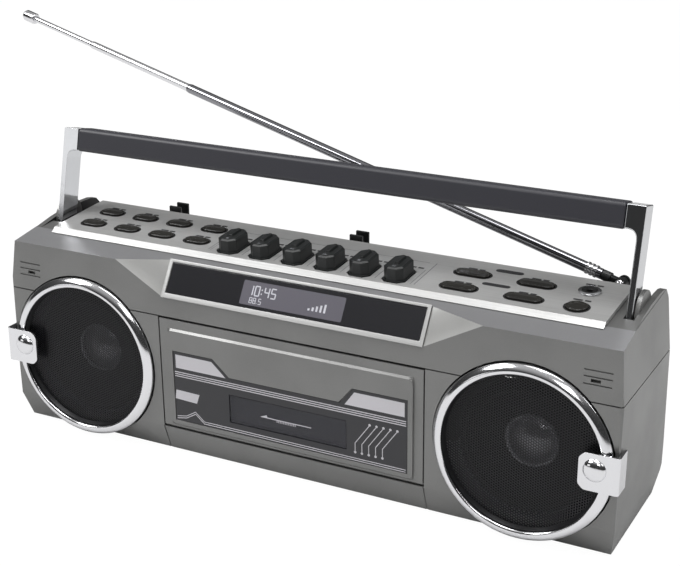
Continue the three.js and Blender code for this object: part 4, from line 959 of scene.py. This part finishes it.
class RECORDER_OT_speakers(bpy.types.Operator):
    """Chrome rings, perforated grilles, drivers and corner clasps"""

    bl_idname = "recorder.speakers"
    bl_label = "Speakers"

    def execute(self, context):
        ring = lathe(((49.4, -5.8), (49.4, 0.3), (49.1, 0.9), (47.9, 2.0), (46.6, 3.0), (45.6, 3.25),
                      (44.7, 3.1), (44.1, 2.7), (43.8, 2.1), (43.8, 1.6), (47, 1.2), (47, -5.8)), 128)
        soften(ring, 0, smooth=40)
        grille = perforated(43.9, sizes().mesh_pitch / MM, sizes().mesh_wall / MM)
        border = lathe(((42.6, -1.4), (43.7, 0.9), (46.7, 0.9), (46.7, -0.1), (44.2, -0.1), (42.6, -2.0)), 96)
        grille = join(grille, soften(border, 0))
        driver = lathe(((0, -11.4), (5, -11.8), (9.5, -13.2), (12.4, -15.2), (13.2, -16.2), (13.6, -15.4),
                        (14.4, -15.2), (15.2, -16), (24, -11.6), (30.6, -8.4), (31.4, -6.9), (32.8, -6.2),
                        (34.2, -6.9), (34.8, -8), (36.2, -8.1), (37.5, -8.1), (37.5, -9.7), (33.5, -11.2),
                        (22, -31), (22, -44), (0, -44)), 96)
        soften(driver, 0, smooth=35)
        for end, side in ENDS:
            spot = Matrix.Translation(Vector((side * SPEAKER_X, FRONT_Y, SPEAKER_Z)) * MM) @ FACING_FRONT
            finish_piece(twin(ring, spot), f"speaker_ring_{end}_rim", "cabinet", "chrome",
                         (f"speaker_ring_{end}",))
            finish_piece(twin(grille, spot), f"speaker_grille_{end}_mesh", "cabinet", "mesh",
                         (f"speaker_grille_{end}",))
            cone = finish_piece(twin(driver, spot), f"speaker_driver_{end}_cone", "cabinet", ["cone", "cap"],
                                (f"speaker_driver_{end}",))
            centre = Vector((side * SPEAKER_X, SPEAKER_Z)) * MM
            for face in cone.data.polygons:
                away = (Vector((face.center.x, face.center.z)) - centre).length / MM
                if away < 14.8 and face.center.y < -20 * MM:
                    face.material_index = 1
            clasp = carried(f"corner_clasp_{end}")
            open_mesh(clasp, "EDGE")
            pick(clasp, "edges", lambda e: abs((e.verts[0].co - e.verts[1].co).normalized().y) > 0.99
                 and abs(e.verts[0].co.x) < 180 * MM and abs(e.verts[0].co.z - CLASP_Z * MM) > 6.5 * MM)
            bpy.ops.mesh.bevel(offset=1.3 * MM, segments=4)
            close_mesh()
            soften(clasp, 0.5, 3, smooth=45)
            finish_piece(clasp, f"corner_clasp_{end}_plate", "cabinet", "chrome",
                         (f"corner_clasp_{end}",))
            dome = lathe(((0, 2.8), (1.6, 2.7), (3.2, 2.4), (4.6, 1.85), (5.6, 1.1), (6.2, 0.2), (6.4, -0.9),
                          (0, -0.9)), 64)
            place(dome, Matrix.Translation(Vector((side * 179, -48.1, 53.7)) * MM) @ FACING_FRONT)
            finish_piece(soften(dome, 0, smooth=40), f"corner_clasp_{end}_dome", "cabinet", "chrome")
        for model in (ring, grille, driver):
            discard(model)
        return {"FINISHED"}


class RECORDER_OT_handle(bpy.types.Operator):
    """Carry handle: chrome arms and a charcoal grip"""

    bl_idname = "recorder.handle"
    bl_label = "Handle"

    def execute(self, context):
        for end, _ in ENDS:
            recast(f"handle_arm_{end}", "dark_chrome", 0.7, 4, smooth=45)
        recast("handle_grip", "grip", 1.2, 4)
        return {"FINISHED"}


class RECORDER_OT_aerial(bpy.types.Operator):
    """Telescopic aerial on its swivel, with its two clips"""

    bl_idname = "recorder.aerial"
    bl_label = "Aerial"

    def execute(self, context):
        recast("aerial_base", "key", 0.4, 3)
        recast("aerial_knuckle", "key", 0.35, 3)
        cap = lathe(((0, 1.6), (1.6, 1.4), (2.6, 0.7), (2.9, 0), (0, 0)), 32)
        place(cap, AERIAL_TURN @ Matrix.Translation((0, 3.55 * MM, 0)) @ FACING_BACK)
        finish_piece(soften(cap, 0), "swivel_dome", "aerial_swivel", "chrome")
        along = AERIAL @ Matrix.Rotation(math.pi / 2, 4, "Y")
        collar = [(2.8, 14.6)]
        for at in (15.6, 18.2, 20.8):
            collar += [(3.08, at - 0.9), (3.5, at - 0.5), (3.5, at + 0.5), (3.08, at + 0.9)]
        rings = place(soften(lathe([*collar, (2.8, 21.8)], 40), 0, smooth=30), along)
        finish_piece(rings, "aerial_rings", "aerial_lower", "chrome")
        lower = [(3.0, 12), (3.0, 313.4), (2.7, 315), (2.62, 315), (2.62, 13), (2.2, 12)]
        tubes = (
            ("aerial_tube_1", "aerial_lower", lower),
            ("aerial_tube_2", "aerial_middle",
             [(2.45, 118), (2.45, 401.6), (2.2, 403), (2.12, 403), (2.12, 119)]),
            ("aerial_tube_3", "aerial_upper",
             [(0, 188), (1.9, 188), (1.9, 458), (3.3, 458.2), (3.7, 459), (3.7, 467), (3.2, 467.9), (0, 468)]),
        )
        for node, body, profile in tubes:
            obj = lathe(profile, 40)
            place(soften(obj, 0, smooth=30), along)
            # Painted reflection: the lowest tube takes the darker chrome for the dark reflection it shows.
            chrome = "lower_chrome" if node == "aerial_tube_1" else "chrome"
            finish_piece(obj, node + "_section", body, chrome, (node,))
        for i in (1, 2):
            recast(f"aerial_clip_{i}", "key", 0.5, 3)
        return {"FINISHED"}


class RECORDER_OT_stage(bpy.types.Operator):
    """Pale floor, soft light and the camera"""

    bl_idname = "recorder.stage"
    bl_label = "Stage"

    def execute(self, context):
        scene = context.scene
        clear_selection()
        bpy.ops.mesh.primitive_plane_add(size=14)
        floor = bpy.context.object
        floor.name = "floor"
        material = bpy.data.materials.new("pale_floor")
        material.use_nodes = True
        nodes, links = material.node_tree.nodes, material.node_tree.links
        nodes["Principled BSDF"].inputs["Base Color"].default_value = (FLOOR_TONE, FLOOR_TONE, FLOOR_TONE, 1)
        nodes["Principled BSDF"].inputs["Roughness"].default_value = 0.8
        path = nodes.new("ShaderNodeLightPath")
        bright = nodes.new("ShaderNodeEmission")
        bright.inputs["Strength"].default_value = FLOOR_GLOW
        mix = nodes.new("ShaderNodeMixShader")
        share = nodes.new("ShaderNodeMath")
        share.operation = "MULTIPLY"
        share.inputs[1].default_value = FLOOR_GLOW_SHARE
        links.new(path.outputs["Is Camera Ray"], share.inputs[0])
        links.new(share.outputs[0], mix.inputs["Fac"])
        links.new(nodes["Principled BSDF"].outputs["BSDF"], mix.inputs[1])
        links.new(bright.outputs["Emission"], mix.inputs[2])
        links.new(mix.outputs["Shader"], nodes["Material Output"].inputs["Surface"])
        floor.data.materials.append(material)
        world = bpy.data.worlds.new("studio")
        world.use_nodes = True
        studio = world.node_tree
        heading = studio.nodes.new("ShaderNodeTexCoord")
        height = studio.nodes.new("ShaderNodeSeparateXYZ")
        bands = studio.nodes.new("ShaderNodeValToRGB")
        ramp = bands.color_ramp
        ramp.elements[0].position, ramp.elements[0].color = 0.0, (0.05, 0.05, 0.05, 1)
        ramp.elements[1].position, ramp.elements[1].color = 1.0, (0.7, 0.7, 0.7, 1)
        for position, level in SKY_LEVELS:
            ramp.elements.new(position).color = (level, level, level, 1)
        studio.links.new(heading.outputs["Generated"], height.inputs["Vector"])
        studio.links.new(height.outputs["Z"], bands.inputs["Fac"])
        studio.links.new(bands.outputs["Color"], studio.nodes["Background"].inputs["Color"])
        studio.nodes["Background"].inputs["Strength"].default_value = SKY_STRENGTH
        scene.world = world
        for name, spot, size, power in LIGHTS:
            light = bpy.data.lights.new(name, "AREA")
            light.shape = "RECTANGLE"
            light.size, light.size_y = size
            light.energy = power
            lamp = bpy.data.objects.new(name, light)
            lamp.location = spot
            lamp.rotation_euler = (AIM - Vector(spot)).to_track_quat("-Z", "Y").to_euler()
            scene.collection.objects.link(lamp)
        camera = bpy.data.objects.new("camera", bpy.data.cameras.new("camera"))
        camera.location = CAMERA_PLACE
        camera.rotation_euler = CAMERA_TURN
        camera.data.lens = CAMERA_LENS
        camera.data.sensor_width = CAMERA_SENSOR
        scene.collection.objects.link(camera)
        scene.camera = camera
        scene.view_settings.view_transform = "Standard"
        return {"FINISHED"}


OPERATORS = (
    RECORDER_OT_cabinet, RECORDER_OT_back, RECORDER_OT_panel, RECORDER_OT_keys, RECORDER_OT_buttons,
    RECORDER_OT_display, RECORDER_OT_door, RECORDER_OT_deck, RECORDER_OT_speakers, RECORDER_OT_handle,
    RECORDER_OT_aerial, RECORDER_OT_stage,
)


class RECORDER_PT_panel(bpy.types.Panel):
    """Sizes, colours and the pieces of the recorder"""

    bl_idname = "RECORDER_PT_panel"
    bl_label = "Recorder"
    bl_space_type = "VIEW_3D"
    bl_region_type = "UI"
    bl_category = "Recorder"

    def draw(self, context):
        for name in RecorderSettings.__annotations__:
            self.layout.prop(context.scene.recorder, name)
        for operator in OPERATORS:
            self.layout.operator(operator.bl_idname)


CLASSES = (RecorderSettings, *OPERATORS, RECORDER_PT_panel)


def register():
    for one in CLASSES:
        bpy.utils.register_class(one)
    bpy.types.Scene.recorder = PointerProperty(type=RecorderSettings)


def unregister():
    del bpy.types.Scene.recorder
    for one in reversed(CLASSES):
        bpy.utils.unregister_class(one)


def main():
    register()
    for operator in OPERATORS:
        getattr(bpy.ops.recorder, operator.bl_idname.split(".")[1])()


if __name__ == "__main__":
    main()
